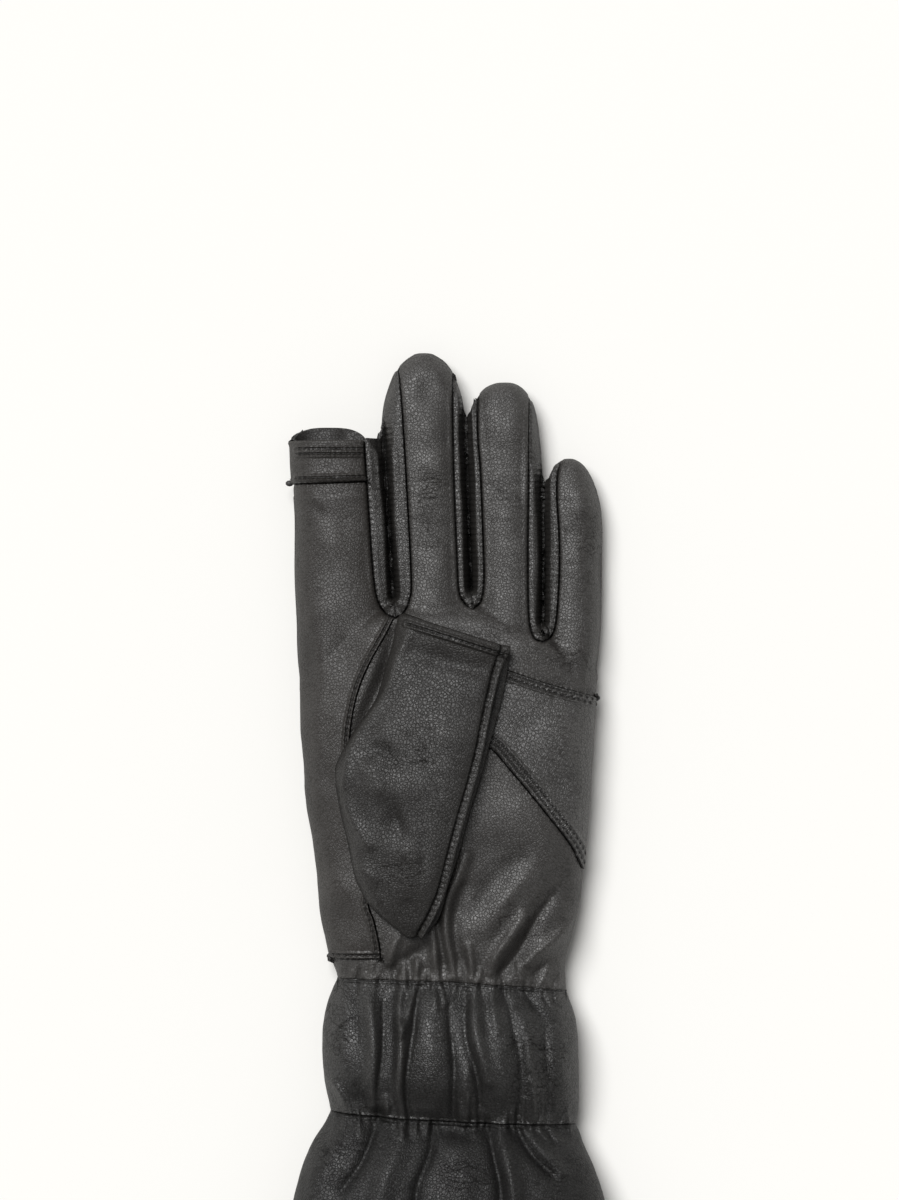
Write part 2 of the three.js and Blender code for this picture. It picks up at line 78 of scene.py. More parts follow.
handShape = {"side": 0.4, "flat": 0.66, "crown": 2.8}
fingerShape = {"side": 0.42, "flat": 0.5, "crown": 2.2}
wristShape = {"side": 0.42, "flat": 0.62, "crown": 2.5}
tipLift = {"share": 0.35, "full": 0.93}

# Cross-sections. Columns: along, slant and bow as shares of the stretch, left and right as shares
# of the palm width, high as a share of the loft.
handRows = [
    (-0.04, -0.019, 0.006, -0.375, 0.387, 0.8),
    (0, -0.019, 0.006, -0.375, 0.387, 0.8),
    (0.032, -0.011, 0.003, -0.397, 0.383, 0.87),
    (0.069, -0.005, 0, -0.417, 0.403, 0.94),
    (0.125, 0, 0, -0.437, 0.43, 0.99),
    (0.197, 0, 0, -0.453, 0.445, 1.01),
    (0.285, 0, 0, -0.48, 0.463, 1.02),
    (0.373, 0, 0, -0.493, 0.478, 1),
    (0.437, -0.003, 0.029, -0.498, 0.487, 0.97),
    (0.485, -0.016, 0.064, -0.503, 0.492, 0.92),
    (0.509, -0.026, 0.083, -0.507, 0.495, 0.84),
    (0.522, -0.029, 0.09, -0.5, 0.487, 0.7),
    (0.526, -0.029, 0.091, -0.48, 0.467, 0.5),
]
# Columns: along, left, right, high.
fingerRows = {
    "index": [
        (0.413, -0.48, -0.207, 0.8), (0.461, -0.493, -0.193, 0.96), (0.509, -0.507, -0.186, 1.06),
        (0.573, -0.512, -0.19, 1.08), (0.637, -0.517, -0.2, 1.05), (0.765, -0.52, -0.217, 1),
        (0.813, -0.525, -0.225, 1), (0.859, -0.527, -0.232, 0.97),
        (0.875, -0.527, -0.246, 0.96), (0.93, -0.527, -0.265, 0.95),
    ],
    "middle": [
        (0.413, -0.173, 0.067, 0.9), (0.477, -0.18, 0.073, 1.1), (0.541, -0.182, 0.073, 1.15),
        (0.605, -0.187, 0.068, 1.1), (0.765, -0.211, 0.056, 1), (0.845, -0.224, 0.052, 0.97),
        (0.893, -0.226, 0.048, 0.93), (0.925, -0.217, 0.04, 0.88), (0.949, -0.202, 0.025, 0.8),
        (0.97, -0.183, 0.008, 0.69), (0.986, -0.155, -0.017, 0.54), (1, -0.115, -0.06, 0.36),
    ],
    "ring": [
        (0.413, 0.093, 0.3, 0.9), (0.477, 0.081, 0.306, 1.08), (0.541, 0.08, 0.307, 1.1),
        (0.605, 0.076, 0.307, 1.06), (0.765, 0.064, 0.308, 0.97), (0.845, 0.061, 0.303, 0.93),
        (0.885, 0.061, 0.293, 0.9), (0.912, 0.072, 0.282, 0.84), (0.93, 0.092, 0.265, 0.74),
        (0.944, 0.117, 0.24, 0.58), (0.952, 0.155, 0.208, 0.38),
    ],
    "little": [
        (0.397, 0.333, 0.46, 0.85), (0.445, 0.323, 0.473, 0.95), (0.509, 0.317, 0.492, 1),
        (0.573, 0.316, 0.503, 0.97), (0.637, 0.316, 0.507, 0.93), (0.701, 0.317, 0.507, 0.9),
        (0.757, 0.318, 0.5, 0.85), (0.786, 0.322, 0.485, 0.77), (0.805, 0.333, 0.467, 0.66),
        (0.821, 0.352, 0.443, 0.52), (0.83, 0.378, 0.414, 0.36),
    ],
}
wristRows = [
    (0, -0.09, 0.029, -0.375, 0.387, 0.8),
    (0.087, -0.083, 0.026, -0.392, 0.398, 0.88),
    (0.23, -0.06, 0.015, -0.412, 0.415, 1.03),
    (0.472, -0.03, 0, -0.423, 0.425, 1.17),
    (0.736, -0.023, -0.008, -0.423, 0.428, 1.12),
    (0.902, -0.06, -0.011, -0.408, 0.428, 0.95),
    (1, -0.096, -0.011, -0.397, 0.418, 0.85),
]
cuffRows = [
    (0, -0.052, -0.006, -0.397, 0.418, 0.85),
    (0.054, -0.033, -0.004, -0.423, 0.43, 0.92),
    (0.124, -0.008, 0, -0.46, 0.443, 1.03),
    (0.207, 0, 0, -0.487, 0.47, 1.15),
    (0.368, 0, 0, -0.523, 0.513, 1.23),
    (0.599, 0, 0, -0.563, 0.56, 1.3),
    (0.826, 0, 0, -0.595, 0.595, 1.35),
    (1, 0, 0, -0.617, 0.617, 1.38),
]
# The thumb lies aslant. Columns: left, leftAlong, right, rightAlong, leftHigh, rightHigh, up, down.
thumbRows = [
    (-0.14, 0.071, -0.086, 0.071, 1, 1.02, 0.12, 0.23),
    (-0.223, 0.101, -0.042, 0.096, 0.98, 1.04, 0.31, 0.46),
    (-0.3, 0.15, -0.006, 0.15, 0.96, 1.08, 0.46, 0.62),
    (-0.337, 0.221, 0.033, 0.208, 0.94, 1.13, 0.58, 0.69),
    (-0.367, 0.285, 0.064, 0.266, 0.92, 1.15, 0.62, 0.69),
    (-0.377, 0.341, 0.102, 0.325, 0.92, 1.15, 0.62, 0.69),
    (-0.322, 0.392, 0.132, 0.378, 0.94, 1.13, 0.58, 0.62),
    (-0.248, 0.445, 0.156, 0.419, 0.96, 1.09, 0.54, 0.54),
    (-0.2, 0.517, 0.18, 0.467, 0.94, 1.06, 0.5, 0.46),
    (-0.16, 0.563, 0.192, 0.506, 0.91, 1, 0.45, 0.38),
    (-0.138, 0.578, 0.194, 0.528, 0.89, 0.98, 0.43, 0.38),
]
# Seams in plan: x as a share of the palm width, y of the hand length above the first elastic line.
seams = {
    "indexFinger": [(-0.283, 0.9), (-0.283, 0.861), (-0.277, 0.813), (-0.26, 0.691),
                    (-0.25, 0.635), (-0.238, 0.605), (-0.215, 0.585), (-0.182, 0.578)],
    "middleNearIndex": [(-0.182, 0.578), (-0.155, 0.585), (-0.137, 0.604), (-0.13, 0.64),
                        (-0.144, 0.778), (-0.162, 0.917), (-0.18, 0.992)],
    "middleNearRing": [(0.027, 0.989), (0.012, 0.954), (0.015, 0.813), (0.026, 0.674),
                       (0.032, 0.621), (0.05, 0.6), (0.077, 0.592)],
    "ringNearMiddle": [(0.077, 0.592), (0.1, 0.602), (0.11, 0.629), (0.11, 0.674),
                       (0.1, 0.805), (0.091, 0.861), (0.09, 0.917), (0.103, 0.96)],
    "ringNearLittle": [(0.273, 0.96), (0.267, 0.923), (0.263, 0.778), (0.261, 0.669),
                       (0.264, 0.581), (0.278, 0.547), (0.308, 0.539)],
    "little": [(0.308, 0.539), (0.335, 0.547), (0.351, 0.573), (0.361, 0.64),
               (0.361, 0.709), (0.354, 0.765), (0.356, 0.805), (0.373, 0.84)],
    "indexPalm": [(-0.182, 0.578), (-0.213, 0.549), (-0.263, 0.506), (-0.297, 0.469),
                  (-0.322, 0.421), (-0.333, 0.365), (-0.32, 0.301), (-0.24, 0.25)],
    "patchTop": [(0.56, 0.435), (0.49, 0.449), (0.333, 0.47), (0.2, 0.491),
                 (0.13, 0.5), (0.07, 0.45), (-0.033, 0.357), (-0.117, 0.269)],
    "patchLow": [(0.54, 0.13), (0.443, 0.173), (0.4, 0.213), (0.317, 0.266), (0.217, 0.325),
                 (0.113, 0.374), (0.04, 0.333), (-0.03, 0.26), (-0.1, 0.22)],
    "indexEdge": [(-0.217, 0.189), (-0.268, 0.13), (-0.25, 0.093), (-0.233, 0.053), (-0.232, 0.03)],
    "indexFoot": [(-0.22, 0.034), (-0.307, 0.033), (-0.46, 0.032)],
    "bandFoot": [(-0.6, 0.79), (-0.4, 0.791), (-0.262, 0.794)],
    "thumbSeam": [(0.185, 0.57), (0.177, 0.54), (0.165, 0.515), (0.149, 0.475), (0.126, 0.425),
                  (0.106, 0.376), (0.086, 0.335), (0.062, 0.294), (0.037, 0.252), (0.013, 0.21),
                  (-0.011, 0.167), (-0.033, 0.132), (-0.06, 0.102), (-0.095, 0.072)],
}
indexTip = {"front": 0.859, "strip": 0.863, "stripFrom": -0.28, "stripTo": -0.23,
            "tab": 0.882, "tabLeft": -0.53, "aside": -0.6}
thumbHole = {"x": -0.167, "along": 0.218, "wide": 24 * mm, "long": 35 * mm}


def softStep(value, low, high):
    share = np.clip((value - low) / (high - low), 0, 1)
    return share * share * (3 - 2 * share)


def bump(value, wide):      # 1 at nought, fading to both sides
    return np.exp(-(value / wide) ** 2)


def curveThrough(knots, values, at):
    slopes = np.gradient(values, knots, axis=0)
    k = np.clip(np.searchsorted(knots, at, side="right") - 1, 0, len(knots) - 2)
    gap = (knots[k + 1] - knots[k])[:, None]
    t = np.clip((at - knots[k])[:, None] / gap, 0, 1)
    start = (1 + 2 * t) * (1 - t) ** 2 * values[k] + t * (1 - t) ** 2 * gap * slopes[k]
    return start + t * t * (3 - 2 * t) * values[k + 1] + t * t * (t - 1) * gap * slopes[k + 1]


def plan(points):       # shares of the palm to metres
    points = np.asarray(points, float)
    return points * [glove["palmWidth"], glove["handLength"]] + [0, wristLine]


holeMiddle = plan((thumbHole["x"], thumbHole["along"]))
holeSize = np.array([thumbHole["wide"], thumbHole["long"]])


def inThumbHole(spots):
    return np.linalg.norm((spots[:, :2] - holeMiddle) / holeSize * 2, axis=1) < 1


def lengthsAlong(points):
    return np.concatenate([[0], np.cumsum(np.linalg.norm(np.diff(points, axis=0), axis=1))])


def evenSteps(points, gap):     # points along a line, a set gap apart
    reach = lengthsAlong(points)
    at = np.linspace(0, reach[-1], max(2, int(round(reach[-1] / gap)) + 1))
    return np.stack([np.interp(at, reach, points[:, k]) for k in range(points.shape[1])], axis=1)


def smoothLine(points, gap=0.4 * mm):
    points = np.asarray(points, float)
    knots = np.arange(len(points), dtype=float)
    fine = curveThrough(knots, points, np.linspace(0, knots[-1], 24 * len(points)))
    return evenSteps(fine, gap)


def seamLine(name):
    return smoothLine(plan(seams[name]))


def besideLine(line, away):     # a line moved to its left by a distance in plan
    ahead = np.gradient(line, axis=0)
    ahead /= np.linalg.norm(ahead, axis=1)[:, None]
    return line + away * np.stack([-ahead[:, 1], ahead[:, 0]], axis=1)


def endLine(row, start, length, x):     # y of a slanting, bowed end at places x
    along, slant, bow, left, right, _ = row
    share = (x / glove["palmWidth"] - left) / (right - left)
    across = np.clip(2 * share - 1, -1, 1)
    rise = slant * np.clip(share, 0, 1) + bow * (1 - across ** 2)
    return start + along * length + rise * abs(length)


def wristSeamAt(x):
    return endLine(handRows[1], wristLine, glove["handLength"], x)


def cuffSeamAt(x):
    return endLine(cuffRows[0], cuffLine, -glove["cuffLength"], x)


def roundSection(u, topShare):      # over the top from left to right, and back underneath
    onTop = u < topShare
    over = np.cos(np.pi * (1 - u / topShare))
    return onTop, np.where(onTop, over, np.cos(np.pi * (u - topShare) / (1 - topShare)))


def tubePlace(rows, start, length, loft, shape, topShare, lifted=False, footShape=None):
    table = np.array(rows, float)
    width = glove["palmWidth"]
    table = table * [length, abs(length), abs(length), width, width, loft]
    knots = lengthsAlong(table)

    def place(u, v):
        along, slant, bow, left, right, high = curveThrough(knots, table, v * knots[-1]).T
        onTop, across = roundSection(u, topShare)
        side, crown = shape["side"], shape["crown"]
        if footShape:       # the hand takes the wrist's section at the elastic line
            blend = softStep(along, 0, 0.1 * length)
            side = footShape["side"] + (side - footShape["side"]) * blend
            crown = footShape["crown"] + (crown - footShape["crown"]) * blend
        floor = np.maximum(0, tipLift["share"] * (tipLift["full"] * loft - high)) if lifted else 0
        far = np.abs(across)
        dome = high * (1 - side) * np.sqrt(np.maximum(0, 1 - far ** crown))
        turn = np.maximum(0, (far - shape["flat"]) / (1 - shape["flat"]))
        belly = high * side * np.sqrt(np.maximum(0, 1 - turn ** 2))
        share = (across + 1) / 2
        x = left + (right - left) * share
        y = start + along + slant * share + bow * (1 - across ** 2)
        return np.stack([x, y, floor + side * high + np.where(onTop, dome, -belly)], axis=1)

    return place


def thumbPlace(topShare, palmTree):
    table = np.array(thumbRows, float)
    width, length, loft = glove["palmWidth"], glove["handLength"], glove["thumbLoft"]
    table = table * [width, length, width, length, glove["palmLoft"], glove["palmLoft"], loft, loft]
    middle = np.stack([table[:, 0] + table[:, 2], table[:, 1] + table[:, 3]], axis=1) / 2
    knots = lengthsAlong(middle)

    def place(u, v):
        values = curveThrough(knots, table, v * knots[-1]).T
        left, leftAlong, right, rightAlong, leftHigh, rightHigh, up, down = values
        onTop, across = roundSection(u, topShare)
        share = (across + 1) / 2
        x = left + (right - left) * share
        y = wristLine + leftAlong + (rightAlong - leftAlong) * share
        edge = leftHigh + (rightHigh - leftHigh) * share
        crown = np.where(across < 0, 4.2, 3)
        swell = np.sqrt(np.maximum(0, 1 - np.abs(across) ** crown))
        z = edge + np.where(onTop, up, -down) * swell
        rest = np.array([heightAt(palmTree, a, b) for a, b in zip(x, y)])
        z = np.maximum(z, rest + np.where(onTop, thumb["rest"] + thumb["thick"] * swell, thumb["rest"]))
        return np.stack([x, y, z], axis=1)

    return place


def heightAt(tree, x, y, top=0.2):
    spot, _, _, _ = tree.ray_cast(Vector((x, y, top)), Vector((0, 0, -1)))
    return spot.z if spot else 0


def rolledGrid(bm, around, along, place):       # a flat grid rolled round into a tube
    made = bmesh.ops.create_grid(bm, x_segments=around, y_segments=along, size=0.5)
    verts = made["verts"]
    spots = np.array([v.co for v in verts])
    for vert, spot in zip(verts, place(spots[:, 0] + 0.5, spots[:, 1] + 0.5)):
        vert.co = spot
    bmesh.ops.remove_doubles(bm, verts=verts, dist=0.001 * mm)


def newObject(name, mesh):
    obj = bpy.data.objects.new(name, mesh)
    bpy.context.scene.collection.objects.link(obj)
    return obj


def meshOf(bm, name):
    mesh = bpy.data.meshes.new(name)
    bm.to_mesh(mesh)
    bm.free()
    mesh.shade_smooth()
    return mesh


def bakeModifiers(obj):
    graph = bpy.context.evaluated_depsgraph_get()
    mesh = bpy.data.meshes.new_from_object(obj.evaluated_get(graph))
    obj.modifiers.clear()
    obj.data = mesh
    return mesh


def readAll(items, name, width=1, kind=float):
    values = np.empty(len(items) * width, kind)
    items.foreach_get(name, values)
    return values.reshape(-1, width) if width > 1 else values


def spotsOf(mesh):
    return readAll(mesh.vertices, "co", 3)


def normalsOf(mesh):
    return readAll(mesh.vertex_normals, "vector", 3)


def cornersOf(mesh, found):     # the point at each corner of a face, and the piece of its face
    corners = readAll(mesh.loops, "vertex_index", kind=int)
    return corners, np.repeat(found, readAll(mesh.polygons, "loop_total", kind=int))


def setSpots(mesh, spots):
    mesh.vertices.foreach_set("co", spots.astype(np.float32).ravel())
    mesh.update()


def setMask(mesh, name, values):
    layer = mesh.attributes.get(name) or mesh.attributes.new(name, "FLOAT", "POINT")
    layer.data.foreach_set("value", values.astype(np.float32))


def treeOf(points):
    tree = KDTree(len(points))
    for k, point in enumerate(points):
        tree.insert((point[0], point[1], point[2] if len(point) > 2 else 0), k)
    tree.balance()
    return tree


def distanceTo(tree, spots):
    return np.array([tree.find(spot)[2] for spot in spots])


def insideOutline(points, outline):
    inside = np.zeros(len(points), bool)
    for (ax, ay), (bx, by) in zip(outline, np.roll(outline, -1, axis=0)):
        if ay == by:
            continue
        crosses = (ay > points[:, 1]) != (by > points[:, 1])
        inside ^= crosses & (points[:, 0] < ax + (points[:, 1] - ay) / (by - ay) * (bx - ax))
    return inside


def lumps(spots, sizes, seed):      # soft unevenness. sizes: (how far apart, how high)
    total = np.zeros(len(spots))
    for far, high in sizes:
        at = spots / far + seed
        total += high * np.array([noise.noise(Vector(p)) for p in at])
    return total


# Folds: half the width and the height in mm, below nought a hollow, then points in mm, x from the
# midline and y above the first elastic line.
foldRows = {
    "wrist": [
        (2, 1.9, [(-25.3, -1), (-25, -10.2), (-24.5, -23), (-23.4, -39)]),
        (1, -1.5, [(-20.8, -7), (-21.4, -16.6), (-22.4, -32.6), (-22.7, -43.5)]),
        (2.2, -0.8, [(-18.9, -3.8), (-18.6, -19.8), (-18.9, -35.8)]),
        (1.5, 1.6, [(-15, -1), (-15.7, -8.6), (-15.7, -16.3)]),
        (1.4, 1.5, [(-11, -1), (-12, -7), (-14.4, -14.7)]),
        (1.9, 2.2, [(-15.7, -13.4), (-16, -25.3), (-15.5, -33.9), (-14.4, -43.2)]),
        (0.9, -1.7, [(-9.9, -3.2), (-11.2, -13.4), (-13.1, -22.1), (-13.8, -31), (-12.8, -43.2)]),
        (3.6, 1, [(-6.1, -7), (-6.4, -23), (-5.8, -39)]), (1.3, 1.4, [(-5, -1), (-4.2, -8)]),
        (0.8, 0.8, [(-2.9, -1.6), (-1.3, -7.4)]),
        (1, -1.9, [(0, -8.3), (0.6, -19.8), (1.1, -34.2), (1.6, -44.2)]),
        (2.4, -1, [(2.9, -5.4), (2.9, -18.2), (3.5, -26.2)]),
        (2, 1, [(4.8, -27.8), (5.8, -37.4), (5.8, -44.2)]),
        (1, -1.5, [(5.1, -3.8), (5.4, -19.2), (7.8, -28.2), (10.2, -42.9)]),
        (2.2, 1.8, [(7.4, -1), (8, -10.6), (9.3, -19.8), (11.8, -31)]),
        (1.7, 1.5, [(12.5, -1), (13.8, -7.7), (15.4, -15)]),
        (1, -1.2, [(17, -3.8), (19.8, -12.8), (21.1, -19.8)]), (3.4, 0.9, [(15, -19.8), (16.6, -39)]),
        (1.6, -1.7, [(23.4, -3.8), (26.2, -8), (29.1, -11.5)]), (1.5, 0.9, [(25, -16.6), (25.6, -31)]),
        (1.2, -0.9, [(22.1, -15), (22.4, -29.4), (21.8, -42.2)]),
        (1.7, 1.3, [(25.9, -32.6), (26.6, -44.2)]),
        (1, -0.8, [(30.4, -15), (31, -29.4), (30.7, -42.2)]), (4, 0.8, [(34.9, -10.2), (35.8, -35.8)]),
        (1.8, 1.6, [(-37.1, -32.6), (-34.2, -37.1), (-32.3, -41.6)]),
        (1.6, -1.2, [(-28.8, -33.3), (-26.9, -40.3)]), (3.6, 0.6, [(-34.2, -7), (-34.6, -26.2)]),
        (0.9, -0.7, [(-29.4, -2.2), (-29.8, -19.8)]), (1.2, 1.3, [(-19.8, -36.8), (-19.5, -44.2)]),
        (0.6, 0.8, [(3.5, -38), (3.2, -44)]), (0.6, 0.9, [(5.8, -35.5), (5.8, -44.5)]),
        (0.6, 0.8, [(7.9, -37), (8.4, -44.5)]), (0.6, 0.6, [(9.8, -39.5), (10.8, -44.5)]),
        (0.6, 0.7, [(23.2, -37), (23.4, -44.8)]), (0.7, 0.9, [(26.5, -35), (27, -44.8)]),
        (0.6, 0.6, [(29.2, -38), (29.6, -44.8)]), (0.6, 0.7, [(20.4, -40), (20.2, -44.8)]),
        (0.7, 0.7, [(29.4, -3), (31.8, -7)]), (0.6, 0.6, [(33, -3.4), (34, -7)]),
    ],
    "palm": [
        (1.9, 2, [(5.1, 40), (1.9, 32.3), (-0.6, 26.9), (-1, 19.8), (-0.6, 12.8), (0.5, 1.6)]),
        (1.5, -1.6, [(-2.9, 29.4), (-3.8, 19.8), (-2.6, 9.3), (-1.6, 2.6)]),
        (2.2, -1.3, [(4.2, 30.1), (1.9, 21.1), (1.6, 12.2), (3.5, 5.1)]),
        (1.6, 1.8, [(-4.8, 16.6), (-5, 9), (-4.8, 0.6)]), (1.5, 1.5, [(6.1, 10.6), (6.7, 1.3)]),
        (0.8, 0.9, [(3.1, 5.1), (3.2, 0.6)]), (0.8, 0.9, [(9.3, 3.8), (9.4, 0.3)]),
        (2, 2.2, [(23.4, 20.5), (18.9, 13.1), (14.7, 7.4), (13, 2.6)]),
        (2, -2.3, [(32, 26.9), (27.5, 19.8), (24, 12.2), (20.2, 6.4), (16.3, 2.6)]),
        (2.2, 1.8, [(38.4, 17.3), (33.6, 12.8), (28.8, 9.1), (25.3, 6.1)]),
        (1, 1.2, [(21.6, 5.1), (21.8, 0.3)]), (0.7, 0.7, [(19.5, 3.8), (19.5, 0)]),
        (0.7, 0.7, [(23.2, 4.8), (23, 0)]), (1.4, -1, [(30.4, 5.1), (26.9, 1.9)]),
        (1.2, 0.8, [(31.4, 2.6), (29.4, -1)]), (4.4, -1.5, [(23, 38.4), (13.4, 31.4), (6.4, 22.4)]),
        (3, 0.7, [(26.2, 37.1), (19.8, 29.4), (11.5, 17)]), (1.3, 1.3, [(-15, 5.1), (-14.9, 0.3)]),
        (1.3, 1.6, [(-10.9, 6.4), (-10.9, 0.3)]), (0.8, 0.8, [(-8.3, 2.6), (-8.3, 0)]),
        (1.3, 1.3, [(-25, 5.1), (-25.1, 0.3)]),
        (1.5, 1.3, [(-16.6, 14.1), (-18.2, 10.6), (-19.4, 5.8)]),
        (2.4, -1.5, [(-8, 10.6), (-13.4, 7), (-17.3, 3.8)]), (1, 0.9, [(-1.9, 3.8), (-2.1, 0)]),
        (1.2, 0.8, [(-30.4, 3.8), (-31.4, 0.3)]), (1.5, 0.6, [(-34.6, 3.8), (-35.8, 0)]),
        (3.2, -2.8, [(-16.6, 110), (-20.6, 98), (-24.6, 87), (-29, 77)]),
    ],
    "cuff": [
        (5, 1.9, [(-31.4, -46.7), (-36.8, -52.5), (-42.2, -61.4), (-44.8, -69.4)]),
        (1.5, -2.1, [(-23.7, -44.8), (-25.9, -52.5), (-29.1, -59.8), (-33.9, -65.9)]),
        (3.6, 1.5, [(-15.4, -46.1), (-18.2, -55), (-21.4, -66.2), (-23, -75.8)]),
        (1.3, -2, [(-5.3, -45.8), (-6.7, -54.4), (-9.9, -64), (-10.9, -72.6), (-12.2, -83.8)]),
        (2.6, -1.5, [(-2.6, -46.7), (3.2, -47.7), (10.2, -47)]),
        (4.6, 1.3, [(1.9, -52.5), (3.2, -59.8), (3.8, -69.4), (3.8, -80.6)]),
        (1.1, -1.9, [(12.2, -46.1), (13.6, -55.7), (15.5, -64), (16.6, -72.6), (18.6, -83.8)]),
        (2.4, 1.9, [(16.3, -46.1), (18.2, -57), (20.5, -69.4), (22.4, -79)]),
        (1.3, -1.7, [(21.1, -46.7), (25.6, -54.7), (32, -60.8)]),
        (2, 1.5, [(24.6, -47.4), (30.4, -54.1), (35.8, -60.2)]),
        (1.2, 1.3, [(-15.7, -44.8), (-15.4, -48.6)]), (1, 0.9, [(-10.9, -45.1), (-11, -48)]),
        (1, 0.9, [(-7, -45.1), (-7.4, -48.3)]), (1, 1.1, [(7.5, -45.4), (7.7, -48.6)]),
        (0.9, 0.9, [(28.8, -47), (31.4, -50.2)]), (0.9, 0.9, [(32, -46.7), (35.2, -50.6)]),
        (7, 0.9, [(-38.4, -75.8), (-42.2, -106.2)]), (7, -0.8, [(-17.3, -82.2), (-19.8, -112.6)]),
        (7, 0.8, [(31.4, -69.4), (35.8, -109.4)]),
    ],
    "fingers": [
        (0.9, -0.22, [(-14.4, 159.4), (-6.4, 158.1), (1.6, 157.1)]),
        (0.9, -0.22, [(-12.8, 146.6), (-5.1, 144), (1.9, 145.3)]),
        (0.8, -0.2, [(-12.2, 138.2), (-3.2, 137.3)]),
        (0.9, -0.22, [(10.2, 158.1), (17.6, 156.8), (24.6, 158.1)]),
        (0.9, -0.22, [(10.9, 146.6), (18.6, 145.6), (25, 143.4)]),
        (0.8, -0.25, [(34.6, 152.6), (41.6, 152), (48, 153)]),
        (0.9, -0.22, [(35.2, 143.4), (42.2, 141.4), (48.6, 142.1)]),
        (0.8, -0.2, [(35.2, 131.8), (48, 133.1)]),
        (2.2, -0.5, [(-48.3, 154.6), (-38.4, 148.2), (-33.3, 145.9)]),
        (1.8, 0.45, [(-48.6, 157.4), (-41, 151.4), (-37.1, 146.6)]),
        (3, -0.5, [(-46.4, 108.2), (-41, 82.6)]), (2.8, 0.5, [(-41, 108.2), (-42.2, 60.2)]),
        (1.6, -0.35, [(16, 103.4), (30.4, 100.5), (45.4, 99.2)]),
        (1.3, 0.3, [(22.4, 107.5), (35.2, 105), (45.4, 104.3)]), (1.8, 0.35, [(-8.3, 121), (3.8, 119)]),
    ],
    "thumb": [
        (1.5, 0.9, [(-12, 110), (-17, 100.5), (-20.6, 90.2), (-28.2, 79.4), (-32.4, 71.7),
                    (-33.4, 62)]),
        (0.5, -0.45, [(-13.1, 78.7), (-9, 72.3), (-6.1, 65.6), (-3.2, 59.5)]),
        (0.5, -0.35, [(-10.9, 78.4), (-6.4, 71), (-3.8, 64.6)]),
        (2.2, -0.9, [(-26.9, 72.3), (-22.4, 74.2), (-18.6, 72.3)]),
        (2, -1, [(-19.8, 62.7), (-17.9, 55.4), (-15.4, 47.4)]),
        (1.8, 1.1, [(-32.3, 57), (-29.4, 49.9), (-25.9, 43.8)]), (3.6, 0.9, [(-25, 66.6), (-23, 63.4)]),
        (3.2, 0.8, [(-15.4, 42.6), (-13.4, 40.3)]), (2, 0.7, [(-27.5, 35.8), (-23.7, 32.6)]),
        (1.6, -0.5, [(-10.2, 57), (-8.3, 44.2), (-9.6, 31.4)]),
        (2.8, -0.95, [(-11.2, 104.6), (0, 101.4), (11.2, 98.8)]),
    ],
}
# Dents and swellings. Columns: x, y, half the width and the height in mm.
dentRows = {
    "palm": [
        (-7, 187.8, 4, -1.1), (-3.8, 164, 5, 0.9), (-6, 175, 4, 0.5), (17.6, 184, 4, -0.6),
        (21.5, 175, 5, 0.8), (17.6, 147.2, 5, 0.7), (-5, 148, 5, -0.6), (-3, 133, 5, 0.6),
        (18, 126, 6, -0.6), (41.5, 152, 4.4, 0.6), (41, 134, 5, 0.6), (42, 120, 5, -0.5),
        (28.8, 108.2, 6, 0.9), (33, 93, 5, -0.8), (22, 100, 5, 0.6), (4, 104, 8, -2.1),
        (36.5, 77, 9, 1.5), (23, 80, 4, -0.5), (34, 62, 5, -0.6), (22.5, 53, 8, 1.4),
        (12, 40, 6.5, -1.2), (30, 46, 6, 0.5), (36.2, 33, 5, -0.9), (-38.4, 140.2, 5, 0.6),
        (-40, 163.2, 3.6, -0.3), (-43, 118, 6, 0.7), (-32, 103, 6, -0.9), (-41, 86, 6, 0.7),
        (-40, 66, 5, -0.7), (-36, 31, 6, 1.1), (-34.5, 20, 4.5, -1), (-31, 10.5, 4.5, 0.9),
    ],
    "thumb": [
        (-20.5, 61, 5.5, 1.1), (-18.5, 50.5, 4.5, -1.1), (-10.5, 33, 7, 1.5), (-3.2, 80, 8, 0.9),
        (-6, 98, 6, -0.5), (-14, 86, 6, 0.6), (-12.5, 24, 5, -0.6),
    ],
}
# Where the hide is creased. Columns: x, y, half the reach across and along in mm, how strongly.
creaseRows = [
    (-5.8, 151.4, 8, 16, 1), (17.9, 151.4, 7.5, 11, 0.9), (41.6, 137, 7.5, 19, 0.8),
    (35.2, 105, 14, 14, 1), (16, 111.4, 14, 7, 0.7), (-9.6, 69.8, 13, 14, 1),
    (-14.4, 34.6, 13, 13, 0.7), (24, 21.8, 14, 13, 1), (-35.2, -13.4, 6, 15, 0.8),
    (-6.4, -26.2, 8, 16, 0.6), (28.8, -23, 11, 18, 1), (-36.8, -51.8, 12, 10, 0.9),
    (3.2, -58, 12, 12, 1), (35.2, -58, 12, 12, 0.8), (0, -96, 45, 22, 0.6),
]


fold = {"heighten": 1.25, "sway": 0.35 * mm, "swayLong": 4.7 * mm, "swayTurn": 60, "crestReach": 3,
        "valleyReach": 5, "ends": 0.7, "broad": 2}


def valleyShape(far):       # sharp at the bottom, with wide rounded shoulders
    return np.exp(0.45 - np.sqrt(far ** 2 + 0.2))


